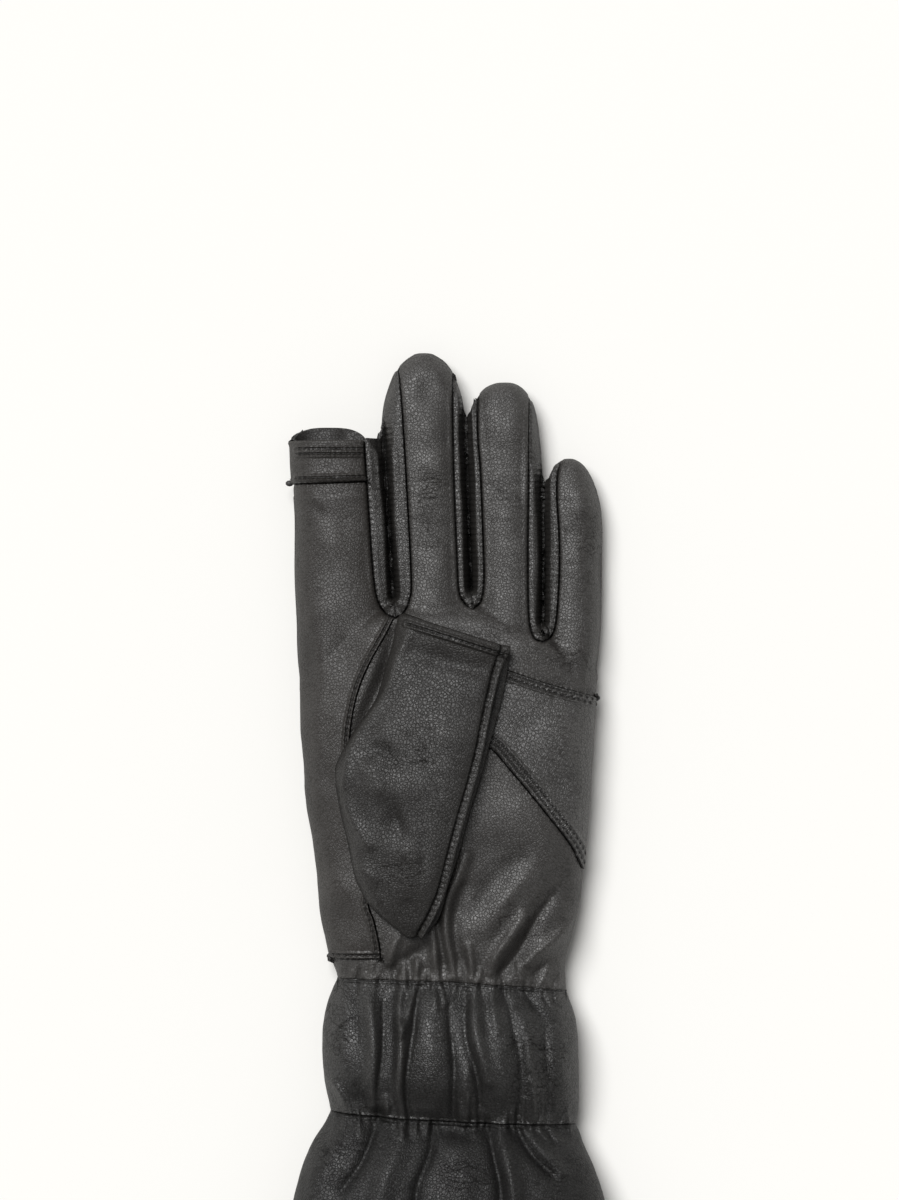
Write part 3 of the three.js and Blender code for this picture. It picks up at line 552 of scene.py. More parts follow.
def foldRelief(x, y, *names):
    total = np.zeros(len(x))
    swayed = x + fold["sway"] * np.sin(y / fold["swayLong"] + fold["swayTurn"] * x)
    for name in names:
        for wide, high, points in foldRows[name]:
            gap = min(0.8, wide / 2) * mm
            line = smoothLine(np.array(points) * mm + [0, wristLine], gap)
            reach = fold["crestReach" if high > 0 else "valleyReach"] * wide * mm
            low, top = line.min(axis=0) - reach, line.max(axis=0) + reach
            near = (x > low[0]) & (x < top[0]) & (y > low[1]) & (y < top[1])
            if not near.any():
                continue
            far = np.hypot(swayed[near, None] - line[:, 0], y[near, None] - line[:, 1])
            share = far.argmin(axis=1) / (len(line) - 1)
            taper = fold["ends"] + (1 - fold["ends"]) * np.sin(np.pi * share)
            far = far.min(axis=1) / (wide * mm)
            shape = bump(far, 1) if high > 0 or wide > fold["broad"] else valleyShape(far)
            total[near] += fold["heighten"] * high * mm * taper * shape
        for atX, atY, wide, high in dentRows.get(name, []):
            far = np.hypot(x - atX * mm, y - wristLine - atY * mm)
            total += high * mm * bump(far, wide * mm)
    return total


def creased(x, y):
    most = np.full(len(x), 0.2)
    for atX, atY, across, along, much in creaseRows:
        far = np.hypot((x / mm - atX) / across, ((y - wristLine) / mm - atY) / along)
        most = np.maximum(most, much * bump(far, 1))
    return most


gather = {"place": (0.2, 0.8), "wide": (0.6 * mm, 1.0 * mm), "high": (0.4 * mm, 1.25 * mm),
          "lean": (-0.35, 0.35), "reach": (1.6 * mm, 4.6 * mm)}


def makePuckers(seed, left, right, count):      # small gathers where an elastic line is sewn
    draw = random.Random(seed)
    step = (right - left) / count
    return [{
        "x": (left + (k + draw.uniform(*gather["place"])) * step) * glove["palmWidth"],
        "wide": draw.uniform(*gather["wide"]),
        "high": draw.uniform(*gather["high"]),
        "lean": (draw.uniform(*gather["lean"]), draw.uniform(*gather["lean"])),
        "reach": (draw.uniform(*gather["reach"]), draw.uniform(*gather["reach"])),
    } for k in range(count)]


puckers = {"wrist": makePuckers(3, -0.36, 0.375, 30), "cuff": makePuckers(8, -0.385, 0.405, 31)}
elastic = {"deep": 0.1 * mm, "wide": 0.5 * mm, "pinch": 0.15, "pinchWide": 0.7 * mm, "hold": 0.3,
           "palmSide": 7 * mm}


def puckerRelief(x, away, rows):        # away is the distance from the line, above or below it
    total = np.zeros(len(x))
    near = np.abs(away)
    for row in rows:
        for side, onSide in ((0, away >= 0), (1, away < 0)):
            place = x - row["x"] - row["lean"][side] * near
            total += np.where(onSide, row["high"] * bump(near, row["reach"][side])
                              * bump(place, row["wide"]), 0)
    sunk = bump(away, elastic["wide"])
    return total * (1 - elastic["hold"] * sunk) - elastic["deep"] * sunk


def pinched(away):      # folds are held down where the elastic is sewn
    return 1 - elastic["pinch"] * bump(away, elastic["pinchWide"])


def onPalmSide(z):
    return softStep(z, glove["sideSeam"], glove["sideSeam"] + elastic["palmSide"])


# The hand: five rolled tubes fused into one skin, which is sculpted and then parted at its seams.
hand = {
    "voxel": 0.6 * mm,
    "smoothing": 7,
    "roomUnder": 1.4,           # of the wall, kept between the palm and the table
    "backShare": 0.5,           # of the faces of the plain back that are kept
    "tubes": {"around": 110, "along": 150},
    "topShare": 0.66,
    "seamDeep": 0.5 * mm,
    "seamWide": 0.75 * mm,
    "shoulder": 0.22 * mm,
    "gap": 2.6 * mm,            # fingers closer than this are drawn together
    "gapFull": 0.6,             # wholly, up to this share of the gap
    "touch": -0.15 * mm,        # room left between them: below 0 they overlap, and no light comes through
    "gapFrom": 0.5,             # of the hand's length
    "sideways": 0.8,            # a side's normal rises less than this
    "clear": 0.02 * mm,         # from the skin to where the ray starts
    "lapShade": 0.12 * mm,      # overlapped seams are drawn less dark
    # scales the distance to the middle of a finger gap, for the painted shade laid down it
    "gapShade": 0.3,
    "shelf": {"fall": 0.3, "gap": 0.8 * mm, "edge": 2.2 * mm, "rib": 0.2 * mm, "ribs": 1.9 * mm,
              "deep": 4 * mm, "floor": 2 * mm, "foot": 2 * mm, "top": 5 * mm},
    "lumps": [(27 * mm, 0.8 * mm), (10 * mm, 0.36 * mm), (4 * mm, 0.09 * mm)],
    "lumpSeed": 3.7,
    "calm": (0.5 * mm, 3 * mm),         # where unevenness starts and is whole, away from a seam,
    "table": (0.2 * mm, 4 * mm),        # above the table,
    "wrist": (0, 4 * mm),               # from the elastic line
    "between": (0.6 * mm, 2 * mm),      # and from the gap between two fingers
    "foldsAtSeam": 0.4,
    "shoulderAway": 1.9,                # in widths of the seam
    "snapReach": 1.3,                   # in voxels
    "snapRise": 4 * mm,
}
thumb = {
    "around": 200,
    "along": 190,
    "topShare": 0.62,
    "rest": 0.35 * mm,
    "thick": 2.6 * mm,
    "hem": 3.0 * mm,
    "hemLift": 0.22 * mm,
    "mouth": 3.1 * mm,          # the open end stands up
    "mouthLong": 6.5 * mm,
    "edgeRound": 1.9 * mm,
    "edgeDrop": 0.85 * mm,
    "rowFromEdge": 2.2 * mm,
    "ridge": 0.9 * mm,          # the raised seam on its right
    "ridgeWide": 0.5 * mm,
    "valley": 0.85 * mm,
    "valleyWide": 0.7 * mm,
    "valleyAway": 1.3 * mm,
    "outerDrop": 2.4 * mm,
    "lumps": [(22 * mm, 0.6 * mm), (9 * mm, 0.35 * mm), (4 * mm, 0.1 * mm)],
    "lumpSeed": 8.1,
    "hemStep": 0.7 * mm,
    "outer": (0.5 * mm, 2.2 * mm),      # beyond the raised seam its side falls away
    "folds": (1 * mm, 4 * mm),          # they start this far from the open end
    "calmMiddle": 0.7 * mm,
    "calm": (1 * mm, 3 * mm),
    "topNormals": (-0.1, 0.35),         # how far a face is turned up, where the relief starts and is whole
    "sewnNormals": 0.3,
    "holeNormals": -0.2,
}
sleeve = {
    "wristAround": 300, "wristAlong": 100,
    "cuffAround": 320, "cuffAlong": 100,
    "topShare": 0.72,
    "rowSoft": 0.22,            # the elastic lines are drawn less dark than a row of stitches
    "lumps": [(24 * mm, 0.6 * mm), (8 * mm, 0.25 * mm), (3.2 * mm, 0.1 * mm)],
    "lumpSeed": 5.3,
    "table": (0.2 * mm, 5 * mm),
    "calm": (0, 4 * mm),
    "halfway": 9 * mm,          # up the tube
    "tuckLong": 0.4 * mm,
    "hemWide": 0.7 * mm,
    "meet": {"along": 5 * mm, "beside": 0.3 * mm, "most": 2.5 * mm, "fade": 2.2 * mm},
    "tuck": 0.35 * mm,          # its upper edge goes under the piece above
    "hemDeep": 0.45 * mm, "hemLong": 6 * mm,
}
pieceNames = ["gone", "hand_back", "palm_upper", "palm_patch", "palm_lower", "index_front",
              "index_band", "fourchette_index_middle", "fourchette_middle_ring",
              "fourchette_ring_little"]
label = {name: k for k, name in enumerate(pieceNames)}
# The open gap in each strip: the seams beside it, and where it starts and ends along the hand.
gapLines = {
    "fourchette_index_middle": ("indexFinger", "middleNearIndex", 0.6, 0.9),
    "fourchette_middle_ring": ("middleNearRing", "ringNearMiddle", 0.612, 0.95),
    "fourchette_ring_little": ("ringNearLittle", "little", 0.558, 0.83),
}
# A piece that lies on its neighbours: over which, how high, and how far in that lasts.
laps = {
    "palm_patch": {"over": ("palm_upper", "palm_lower"), "lift": 0.5 * mm, "reach": 60 * mm},
    "index_front": {"over": ("palm_upper", "palm_lower"), "lift": 0.5 * mm, "reach": 6 * mm},
    "index_band": {"over": ("index_front",), "lift": 0.7 * mm, "reach": 60 * mm},
}
# Welts across the band at the fingertip. Columns: measured from, away, half the width and the height.
welts = [("lap", 0.6 * mm, 0.55 * mm, 0.55 * mm), ("front", 0.7 * mm, 0.6 * mm, 0.4 * mm)]
lapEdge = {"sunk": 0.35, "wide": 0.35 * mm, "seam": 2.2 * mm, "wrist": 6 * mm}
pressed = {"palm": 0.25 * mm, "index": 0.2 * mm, "wide": 0.9 * mm, "reach": 4 * mm}


def fuseHand():
    bm = bmesh.new()
    tubes, loft = hand["tubes"], glove["palmLoft"]
    rolledGrid(bm, tubes["around"], tubes["along"], tubePlace(
        handRows, wristLine, glove["handLength"], loft, handShape, hand["topShare"],
        footShape=wristShape))
    for rows in fingerRows.values():
        full = [(along, 0, 0, left, right, high) for along, left, right, high in rows]
        rolledGrid(bm, tubes["around"], tubes["along"], tubePlace(
            full, wristLine, glove["handLength"], glove["fingerLoft"], fingerShape,
            hand["topShare"], lifted=True))
    bmesh.ops.holes_fill(bm, edges=bm.edges, sides=0)
    bmesh.ops.recalc_face_normals(bm, faces=bm.faces)
    obj = newObject("handSkin", meshOf(bm, "handSkin"))
    remesh = obj.modifiers.new("fuse", "REMESH")
    remesh.mode = "VOXEL"
    remesh.voxel_size = hand["voxel"]
    remesh.use_smooth_shade = True
    smooth = obj.modifiers.new("smooth", "SMOOTH")
    smooth.factor = 0.5
    smooth.iterations = hand["smoothing"]
    mesh = bakeModifiers(obj)
    bpy.data.objects.remove(obj)
    closeGaps(mesh)
    print("hand skin", len(mesh.vertices))
    return mesh


def closeGaps(mesh):        # the sides of neighbouring fingers lie against each other
    spots, normals = spotsOf(mesh), normalsOf(mesh)
    tree = treeOfMesh(mesh)
    upper = spots[:, 1] > wristLine + hand["gapFrom"] * glove["handLength"]
    sides = (np.abs(normals[:, 2]) < hand["sideways"]) & upper
    moved = spots.copy()
    for k in np.flatnonzero(sides):
        ahead = Vector(normals[k])
        start = Vector(spots[k]) + ahead * hand["clear"]
        _, _, _, far = tree.ray_cast(start, ahead, hand["gap"])
        if far is not None:
            much = 1 - softStep(far, hand["gapFull"] * hand["gap"], hand["gap"])
            moved[k] += normals[k] * much * (far - hand["touch"]) / 2
    setSpots(mesh, moved)
    relaxSkin(mesh, ~sides, 2)


def treeOfMesh(mesh):
    return BVHTree.FromPolygons([v.co for v in mesh.vertices], [p.vertices for p in mesh.polygons])


def handOutlines():
    line = {name: seamLine(name) for name in seams}
    hole = holeMiddle[None]
    join = np.concatenate
    between = {
        "fourchette_index_middle": join([line["indexFinger"], line["middleNearIndex"],
                                         plan([(-0.19, 1.03), (-0.33, 1.03)])]),
        "fourchette_middle_ring": join([line["middleNearRing"], line["ringNearMiddle"],
                                        plan([(0.1, 1.03), (0.03, 1.03)])]),
        "fourchette_ring_little": join([line["ringNearLittle"], line["little"]]),
    }
    front = join([line["indexFinger"], line["indexPalm"], line["indexEdge"], line["indexFoot"],
                  plan([(-0.8, 0.03), (-0.8, 0.95), (-0.283, 0.95)])])
    patch = join([line["patchTop"], line["patchLow"][::-1], plan([(0.7, 0.13), (0.7, 0.435)])])
    lower = join([line["patchLow"], hole, line["indexEdge"], line["indexFoot"],
                  plan([(-0.8, 0.032), (-0.8, -0.1), (0.8, -0.1), (0.8, 0.13)])])
    band = join([line["bandFoot"], plan([(-0.2, 0.8), (-0.2, 1), (-0.8, 1), (-0.8, 0.79)])])
    return line, between, front, patch, lower, band


def tabLine():
    turn = np.linspace(-1, 1, 61)
    rise = (1 - np.abs(turn) ** 3) ** 0.6
    x = np.interp(turn, [-1, 1], [indexTip["tabLeft"], indexTip["stripFrom"]])
    y = indexTip["front"] + (indexTip["tab"] - indexTip["front"]) * rise
    ends = [(indexTip["aside"], indexTip["front"])], [(indexTip["stripTo"], indexTip["front"])]
    return evenSteps(plan(np.concatenate([ends[0], np.stack([x, y], axis=1), ends[1]])), 0.4 * mm)


def labelFaces(mesh):
    centers = readAll(mesh.polygons, "center", 3)
    spots, high = centers[:, :2], centers[:, 2]
    line, between, front, patch, lower, band = handOutlines()
    found = np.full(len(centers), label["palm_upper"])
    found[insideOutline(spots, lower)] = label["palm_lower"]
    found[insideOutline(spots, patch)] = label["palm_patch"]
    inFront = insideOutline(spots, front)
    found[inFront] = label["index_front"]
    found[inFront & insideOutline(spots, band)] = label["index_band"]
    for name, outline in between.items():
        found[insideOutline(spots, outline)] = label[name]
    under = high < glove["sideSeam"]
    found[under] = label["hand_back"]
    x, along = spots[:, 0] / glove["palmWidth"], (spots[:, 1] - wristLine) / glove["handLength"]
    tip = x < indexTip["stripTo"]
    step = np.where(x < indexTip["stripFrom"], indexTip["front"], indexTip["strip"])
    found[~under & tip & (along > step)] = label["gone"]
    tab = tabLine()
    reach = np.interp(spots[:, 0], tab[:, 0], tab[:, 1])
    found[under & tip & (spots[:, 1] > reach)] = label["gone"]
    found[~under & inThumbHole(spots)] = label["gone"]
    found[spots[:, 1] < wristSeamAt(spots[:, 0])] = label["gone"]
    return found, line, tab


def cutCurves(line, tab):       # every line in plan that a cut follows
    turn = np.linspace(0, 2 * np.pi, 300)[:, None]
    ring = holeMiddle + np.hstack([np.cos(turn), np.sin(turn)]) * holeSize / 2
    x = np.linspace(-0.45, 0.45, 260) * glove["palmWidth"]
    wrist = np.stack([x, wristSeamAt(x)], axis=1)
    tip = indexTip
    front = evenSteps(plan([(tip["aside"], tip["front"]), (tip["stripFrom"], tip["front"]),
                            (tip["stripFrom"], tip["strip"]), (tip["stripTo"], tip["strip"])]),
                      0.3 * mm)
    own = [points for name, points in line.items() if name != "thumbSeam"]
    return np.concatenate([*own, ring, wrist, front]), np.concatenate([wrist, tab])


def snapSeams(mesh, found, line, tab):      # the edges of the pieces are drawn onto their lines
    spots = spotsOf(mesh)
    surface = treeOfMesh(mesh)
    corners, own = cornersOf(mesh, found)
    least, most = np.full(len(spots), 99), np.full(len(spots), -1)
    np.minimum.at(least, corners, own)
    np.maximum.at(most, corners, own)
    touches = np.zeros((len(pieceNames), len(spots)), bool)
    touches[own, corners] = True
    seam = least != most
    above, below = cutCurves(line, tab)
    treeAbove, treeBelow = treeOf(above), treeOf(below)
    back = label["hand_back"]
    for k in np.flatnonzero(seam):
        if touches[back, k] and touches[2:, k].any():
            spots[k, 2] = glove["sideSeam"]
            if not touches[label["gone"], k]:
                continue
        tree = treeBelow if touches[back, k] else treeAbove
        near, _, away = tree.find((spots[k, 0], spots[k, 1], 0))
        if away < hand["snapReach"] * hand["voxel"]:
            spots[k, :2] = near[:2]
            high = heightAt(surface, near[0], near[1])
            if not touches[back, k] and abs(high - spots[k, 2]) < hand["snapRise"]:
                spots[k, 2] = high
    setSpots(mesh, spots)
    return touches, seam


def relaxSkin(mesh, seam, rounds=3):        # evens out the skin, apart from the points of a seam
    a, b = readAll(mesh.edges, "vertices", 2, int).T
    spots = spotsOf(mesh)
    for _ in range(rounds):
        total, count = np.zeros_like(spots), np.zeros(len(spots))
        np.add.at(total, a, spots[b])
        np.add.at(total, b, spots[a])
        np.add.at(count, a, 1)
        np.add.at(count, b, 1)
        moved = spots + 0.5 * (total / count[:, None] - spots)
        spots = np.where(seam[:, None], spots, moved)
    setSpots(mesh, spots)


def withMiddles(mesh, chosen):      # chosen points of the skin and the middles of edges between them
    spots = spotsOf(mesh)
    a, b = readAll(mesh.edges, "vertices", 2, int).T
    both = chosen[a] & chosen[b]
    return np.concatenate([spots[chosen], (spots[a[both]] + spots[b[both]]) / 2])


def sculptHand(mesh, touches, gapAway):
    spots, normals = spotsOf(mesh), normalsOf(mesh)
    x, y, z = spots.T
    laid = np.zeros(len(spots), bool)
    for name, lap in laps.items():
        laid |= touches[label[name]] & touches[[label[n] for n in lap["over"]]].any(axis=0)
    rolled = (touches.sum(axis=0) > 1) & ~laid & ~touches[label["gone"]]
    rolledAway = distanceTo(treeOf(withMiddles(mesh, rolled)), spots)
    lapAway = distanceTo(treeOf(withMiddles(mesh, laid)), spots)
    toWrist = y - wristSeamAt(x)
    calm = softStep(rolledAway, *hand["calm"])
    held = hand["foldsAtSeam"] + (1 - hand["foldsAtSeam"]) * calm
    folds = foldRelief(x, y, "wrist", "palm", "fingers") * pinched(toWrist)
    folds = (folds * held + puckerRelief(x, toWrist, puckers["wrist"])) * onPalmSide(z)
    uneven = lumps(spots, hand["lumps"], hand["lumpSeed"]) * softStep(z, *hand["table"]) * calm
    uneven *= softStep(toWrist, *hand["wrist"]) * softStep(gapAway, *hand["between"])
    shoulder = rolledAway - hand["shoulderAway"] * hand["seamWide"]
    groove = hand["shoulder"] * bump(shoulder, hand["seamWide"])
    groove -= hand["seamDeep"] * bump(rolledAway, hand["seamWide"])
    groove *= softStep(toWrist, *hand["wrist"])
    spots[:, 2] += folds
    spots += normals * (uneven + groove)[:, None]
    setSpots(mesh, spots)
    lowest = hand["roomUnder"] * glove["wall"] * np.maximum(0, normalsOf(mesh)[:, 2])
    spots[:, 2] = np.maximum(spots[:, 2], lowest)
    setSpots(mesh, spots)
    front = plan((0, indexTip["front"]))[1] - y
    return {"rolled": rolledAway, "lap": lapAway, "folds": folds, "wrist": toWrist, "front": front,
            "gap": gapAway}


def raiseShelves(mesh, found, seam):      # the strips between the fingers: two shelves and a deep gap
    spots, shelf = spotsOf(mesh), hand["shelf"]
    above = seam & (spots[:, 2] > glove["sideSeam"] + mm)
    seamTree, high = treeOf(spots[above] * [1, 1, 0]), spots[above, 2]
    gapAway = np.full(len(spots), farOff)
    corners, own = cornersOf(mesh, found)
    for name, (left, right, foot, top) in gapLines.items():
        chosen = np.unique(corners[own == label[name]])
        chosen = chosen[~seam[chosen]]
        line = [seamLine(n) for n in (left, right)]
        line = [part[np.argsort(part[:, 1])] for part in line]
        y = spots[chosen, 1]
        edges = [np.interp(y, part[:, 1], part[:, 0]) for part in line]
        middle = (edges[0] + edges[1]) / 2
        low, end = plan([(0, foot), (0, top)])[:, 1]
        opened = softStep(y, low, low + shelf["foot"])
        near = np.abs(spots[chosen, 0] - middle) + (1 - opened) * shelf["edge"]
        within = 1 - softStep(y, end - shelf["top"], end)
        for k, gap, much, at in zip(chosen, near, within, y):
            _, n, away = seamTree.find((spots[k, 0], spots[k, 1], 0))
            rib = shelf["rib"] * math.sin(2 * math.pi * at / shelf["ribs"] + 0.8 * math.sin(at / mm))
            target = high[n] - shelf["fall"] * away + rib * min(1, away / mm)
            share = float(softStep(gap, shelf["gap"], shelf["edge"])) * much
            if target > spots[k, 2]:
                spots[k, 2] += (target - spots[k, 2]) * share
            deeper = shelf["deep"] * float(bump(gap, shelf["gap"])) * much
            spots[k, 2] = max(spots[k, 2] - deeper, glove["sideSeam"] + shelf["floor"])
            gapAway[k] = gap + (1 - much) * shelf["edge"]
    setSpots(mesh, spots)
    return gapAway


def keepFaces(mesh, keep, name):
    bm = bmesh.new()
    bm.from_mesh(mesh)
    bm.faces.ensure_lookup_table()
    drop = [bm.faces[k] for k in np.flatnonzero(~keep)]
    bmesh.ops.delete(bm, geom=drop, context="FACES")
    return meshOf(bm, name)


def setSewn(mesh, seamLines, rows, soft=0):     # how far off the nearest row is, and the way along
    flat = spotsOf(mesh) * [1, 1, 0]
    rowAway = np.full(len(flat), farOff)
    if rows:
        rowAway = distanceTo(treeOf(np.concatenate(rows)), flat)
    sewnLines = seamLines + rows
    tree = treeOf(np.concatenate(sewnLines))
    runs = np.concatenate([lengthsAlong(points) for points in sewnLines])
    along = runs[[tree.find(spot)[1] for spot in flat]]
    setMask(mesh, "rowAway", rowAway / mm + soft)
    setMask(mesh, "sewnAlong", along / mm)


def lapLift(name, away):
    lap = laps[name]
    lift = lap["lift"] * bump(away["lap"], lap["reach"])
    lift *= 1 - lapEdge["sunk"] * bump(away["lap"], lapEdge["wide"])
    lift *= softStep(away["rolled"], 0, lapEdge["seam"]) * softStep(away["wrist"], 0, lapEdge["wrist"])
    if name == "index_band":
        for measured, far, wide, high in welts:
            lift += high * bump(away[measured] - far, wide)
    return lift


def partHand(mesh, found, touches, away, seamLines, rows):
    base, normals = spotsOf(mesh), normalsOf(mesh)
    # distance to a dark line: a seam, drawn less dark where overlapped, and the middle of the gap between
    # two fingers, where painted shade is laid
    dark = np.minimum(away["rolled"], away["lap"] + hand["lapShade"])
    setMask(mesh, "seamAndShadeAway", np.minimum(dark, hand["gapShade"] * away["gap"]) / mm)
    # fold height: the material paints light on the crests and shade in the hollows
    setMask(mesh, "crestMask", away["folds"] / mm)
    setMask(mesh, "creaseMask", creased(base[:, 0], base[:, 1]))
    bandFoot = touches[label["index_band"]] & touches[label["index_front"]]
    toBand = distanceTo(treeOf(withMiddles(mesh, bandFoot)), base)
    pieces = {}
    for name in pieceNames[1:]:
        lift = np.zeros(len(base))
        if name in laps:
            lift = lapLift(name, away)
        elif name in ("palm_upper", "palm_lower"):
            lift = -pressed["palm"] * bump(away["lap"], pressed["wide"])
        if name == "index_front":
            under = -pressed["index"] * bump(toBand, pressed["wide"])
            lift = np.where(toBand < pressed["reach"], under, lift)
        joined = mesh.copy()
        setSpots(joined, base + normals * lift[:, None])
        pieces[name] = keepFaces(joined, found == label[name], name)
        setSewn(pieces[name], seamLines, rows.get(name, []))
        bpy.data.meshes.remove(joined)
        print("piece", name, len(pieces[name].polygons))
    return pieces


def makeThumb(palmTree, seamAt, rows):
    bm = bmesh.new()
    rolledGrid(bm, thumb["around"], thumb["along"], thumbPlace(thumb["topShare"], palmTree))
    low = wristLine + 0.2 * glove["handLength"]
    bottom = [e for e in bm.edges if e.is_boundary and e.verts[0].co.y < low]
    bmesh.ops.holes_fill(bm, edges=bottom, sides=0)
    bmesh.ops.recalc_face_normals(bm, faces=bm.faces)
    mesh = meshOf(bm, "thumb")
    spots, normals = spotsOf(mesh), normalsOf(mesh)
    x, y, z = spots.T
    top = softStep(normals[:, 2], *thumb["topNormals"])
    tree, ahead = treeOf(seamAt), np.gradient(seamAt, axis=0)
    nearest = np.array([tree.find(spot)[1] for spot in spots * [1, 1, 0]])
    away, ahead = spots[:, :2] - seamAt[nearest], ahead[nearest]
    side = np.hypot(*away.T) * np.sign(ahead[:, 0] * away[:, 1] - ahead[:, 1] * away[:, 0])
    ends = plan([thumbRows[-1][0:2], thumbRows[-1][2:4]])
    across = (ends[1] - ends[0]) / np.linalg.norm(ends[1] - ends[0])
    toTop = (x - ends[0][0]) * across[1] - (y - ends[0][1]) * across[0]
    hem = thumb["hemLift"] * (1 - softStep(toTop, thumb["hem"], thumb["hem"] + thumb["hemStep"]))
    hem += thumb["mouth"] * bump(toTop, thumb["mouthLong"])
    hem -= thumb["edgeDrop"] * (1 - softStep(toTop, 0, thumb["edgeRound"])) ** 2
    welt = thumb["ridge"] * bump(side, thumb["ridgeWide"])
    welt -= thumb["valley"] * bump(side + thumb["valleyAway"], thumb["valleyWide"])
    welt -= thumb["outerDrop"] * softStep(side, *thumb["outer"])
    folds = foldRelief(x, y, "thumb") * softStep(toTop, *thumb["folds"])
    calm = softStep(np.abs(side + thumb["calmMiddle"]), *thumb["calm"])
    uneven = lumps(spots, thumb["lumps"], thumb["lumpSeed"]) * calm
    relief = (folds + hem + welt + uneven) * top
    spots += normals * relief[:, None]
    setSpots(mesh, spots)
    facingUp = top > thumb["sewnNormals"]
    # painted shade down the valley beside the raised seam, on faces turned up
    beside = np.where(facingUp, np.abs(side + thumb["valleyAway"]), farOff)
    setMask(mesh, "seamAndShadeAway", beside / mm)
    # relief height: the material paints light on the crests and shade in the hollows
    setMask(mesh, "crestMask", relief / mm)
    setMask(mesh, "creaseMask", creased(x, y))
    setSewn(mesh, [seamAt], rows)
    under = readAll(mesh.polygons, "normal", 3)[:, 2] < thumb["holeNormals"]
    made = keepFaces(mesh, ~(inThumbHole(readAll(mesh.polygons, "center", 3)) & under), "thumb")
    print("piece thumb", len(made.polygons))
    return made


def makeSleeve(name, rows, start, length, around, along, gathers, stitchLines):
    bm = bmesh.new()
    rolledGrid(bm, around, along, tubePlace(
        rows, start, -length, glove["palmLoft"], wristShape, sleeve["topShare"]))
    bmesh.ops.recalc_face_normals(bm, faces=bm.faces)
    mesh = meshOf(bm, name)
    spots, normals = spotsOf(mesh), normalsOf(mesh)
    if (normals[:, 2] * np.sign(spots[:, 2] - sleeve["halfway"])).mean() < 0:
        mesh.flip_normals()
        normals = normalsOf(mesh)
    x, y, z = spots.T
    folds = foldRelief(x, y, "wrist", "palm", "cuff")
    nearest = np.full(len(x), farOff)
    for lineAt, gathered in gathers:
        away = y - lineAt(x)
        folds = folds * pinched(away) + puckerRelief(x, away, gathered)
        nearest = np.minimum(nearest, np.abs(away))
    folds *= onPalmSide(z)
    uneven = lumps(spots, sleeve["lumps"], sleeve["lumpSeed"]) * softStep(z, *sleeve["table"])
    uneven *= softStep(nearest, *sleeve["calm"])
    hem = -sleeve["hemDeep"] * bump(y - hemLine - sleeve["hemLong"], sleeve["hemWide"])
    spots[:, 2] += folds
    spots += normals * (uneven + hem)[:, None]
    spots[:, 1] += sleeve["tuck"] * bump(y - gathers[0][0](x), sleeve["tuckLong"])
    spots[:, 2] = np.maximum(spots[:, 2], 0)
    setSpots(mesh, spots)
    setMask(mesh, "seamAndShadeAway", np.full(len(x), 9))
    # fold height: the material paints light on the crests and shade in the hollows
    setMask(mesh, "crestMask", folds / mm)
    setMask(mesh, "creaseMask", creased(x, y))
    setSewn(mesh, stitchLines, stitchLines, sleeve["rowSoft"])
    print("piece", name, len(mesh.polygons))
    return mesh


def meetHand(mesh, skinTree):       # the wrist band starts at the height of the hand's edge
    spots, ownTree, meet = spotsOf(mesh), treeOfMesh(mesh), sleeve["meet"]
    away = wristSeamAt(spots[:, 0]) - spots[:, 1]
    for k in np.flatnonzero((away < meet["along"]) & (spots[:, 2] > glove["sideSeam"])):
        x, line = spots[k, 0], spots[k, 1] + away[k]
        gap = heightAt(skinTree, x, line + meet["beside"]) - heightAt(ownTree, x, line - meet["beside"])
        if abs(gap) < meet["most"]:
            spots[k, 2] += gap * bump(away[k], meet["fade"])
    setSpots(mesh, spots)


# Materials. The groups give only values that change over the surface.
def addNode(tree, kind, inputs=None, **settings):       # inputs holds values, or the sockets to link
    node = tree.nodes.new(kind)
    row, column = divmod(len(tree.nodes), 8)
    node.location = (220 * column, -320 * row)
    for name, value in settings.items():
        setattr(node, name, value)
    for name, value in (inputs or {}).items():
        if isinstance(value, bpy.types.NodeSocket):
            tree.links.new(value, node.inputs[name])
        else:
            node.inputs[name].default_value = value
    return node


def compute(operation, first, *others):
    values = dict(enumerate([first, *others]))
    return addNode(first.id_data, "ShaderNodeMath", values, operation=operation).outputs[0]


def ranged(value, low, high, toLow=0.0, toHigh=1.0, kind="LINEAR"):
    span = {"Value": value, "From Min": low, "From Max": high, "To Min": toLow, "To Max": toHigh}
    return addNode(value.id_data, "ShaderNodeMapRange", span, interpolation_type=kind).outputs[0]


def fading(value, low, high):       # 1 below low, 0 above high
    return ranged(value, low, high, 1.0, 0.0, "SMOOTHSTEP")


def clouds(place, scale, detail, roughness=0.5):
    inputs = {"Vector": place, "Scale": scale, "Detail": detail, "Roughness": roughness}
    return addNode(place.id_data, "ShaderNodeTexNoise", inputs).outputs


def mixed(share, first, second, blend="MIX"):
    inputs = {0: share, 6: first, 7: second}
    tree = next(v.id_data for v in inputs.values() if isinstance(v, bpy.types.NodeSocket))
    return addNode(tree, "ShaderNodeMix", inputs, data_type="RGBA", blend_type=blend).outputs[2]


def makeGroup(name, inputs, outputs):       # an input with no value is a vector
    group = bpy.data.node_groups.new(name, "ShaderNodeTree")
    for text, value in inputs.items():
        kind = "NodeSocketVector" if value is None else "NodeSocketFloat"
        socket = group.interface.new_socket(text, in_out="INPUT", socket_type=kind)
        if value is not None:
            socket.default_value = value
    for text in outputs:
        group.interface.new_socket(text, in_out="OUTPUT", socket_type="NodeSocketFloat")
    return group, addNode(group, "NodeGroupInput").outputs


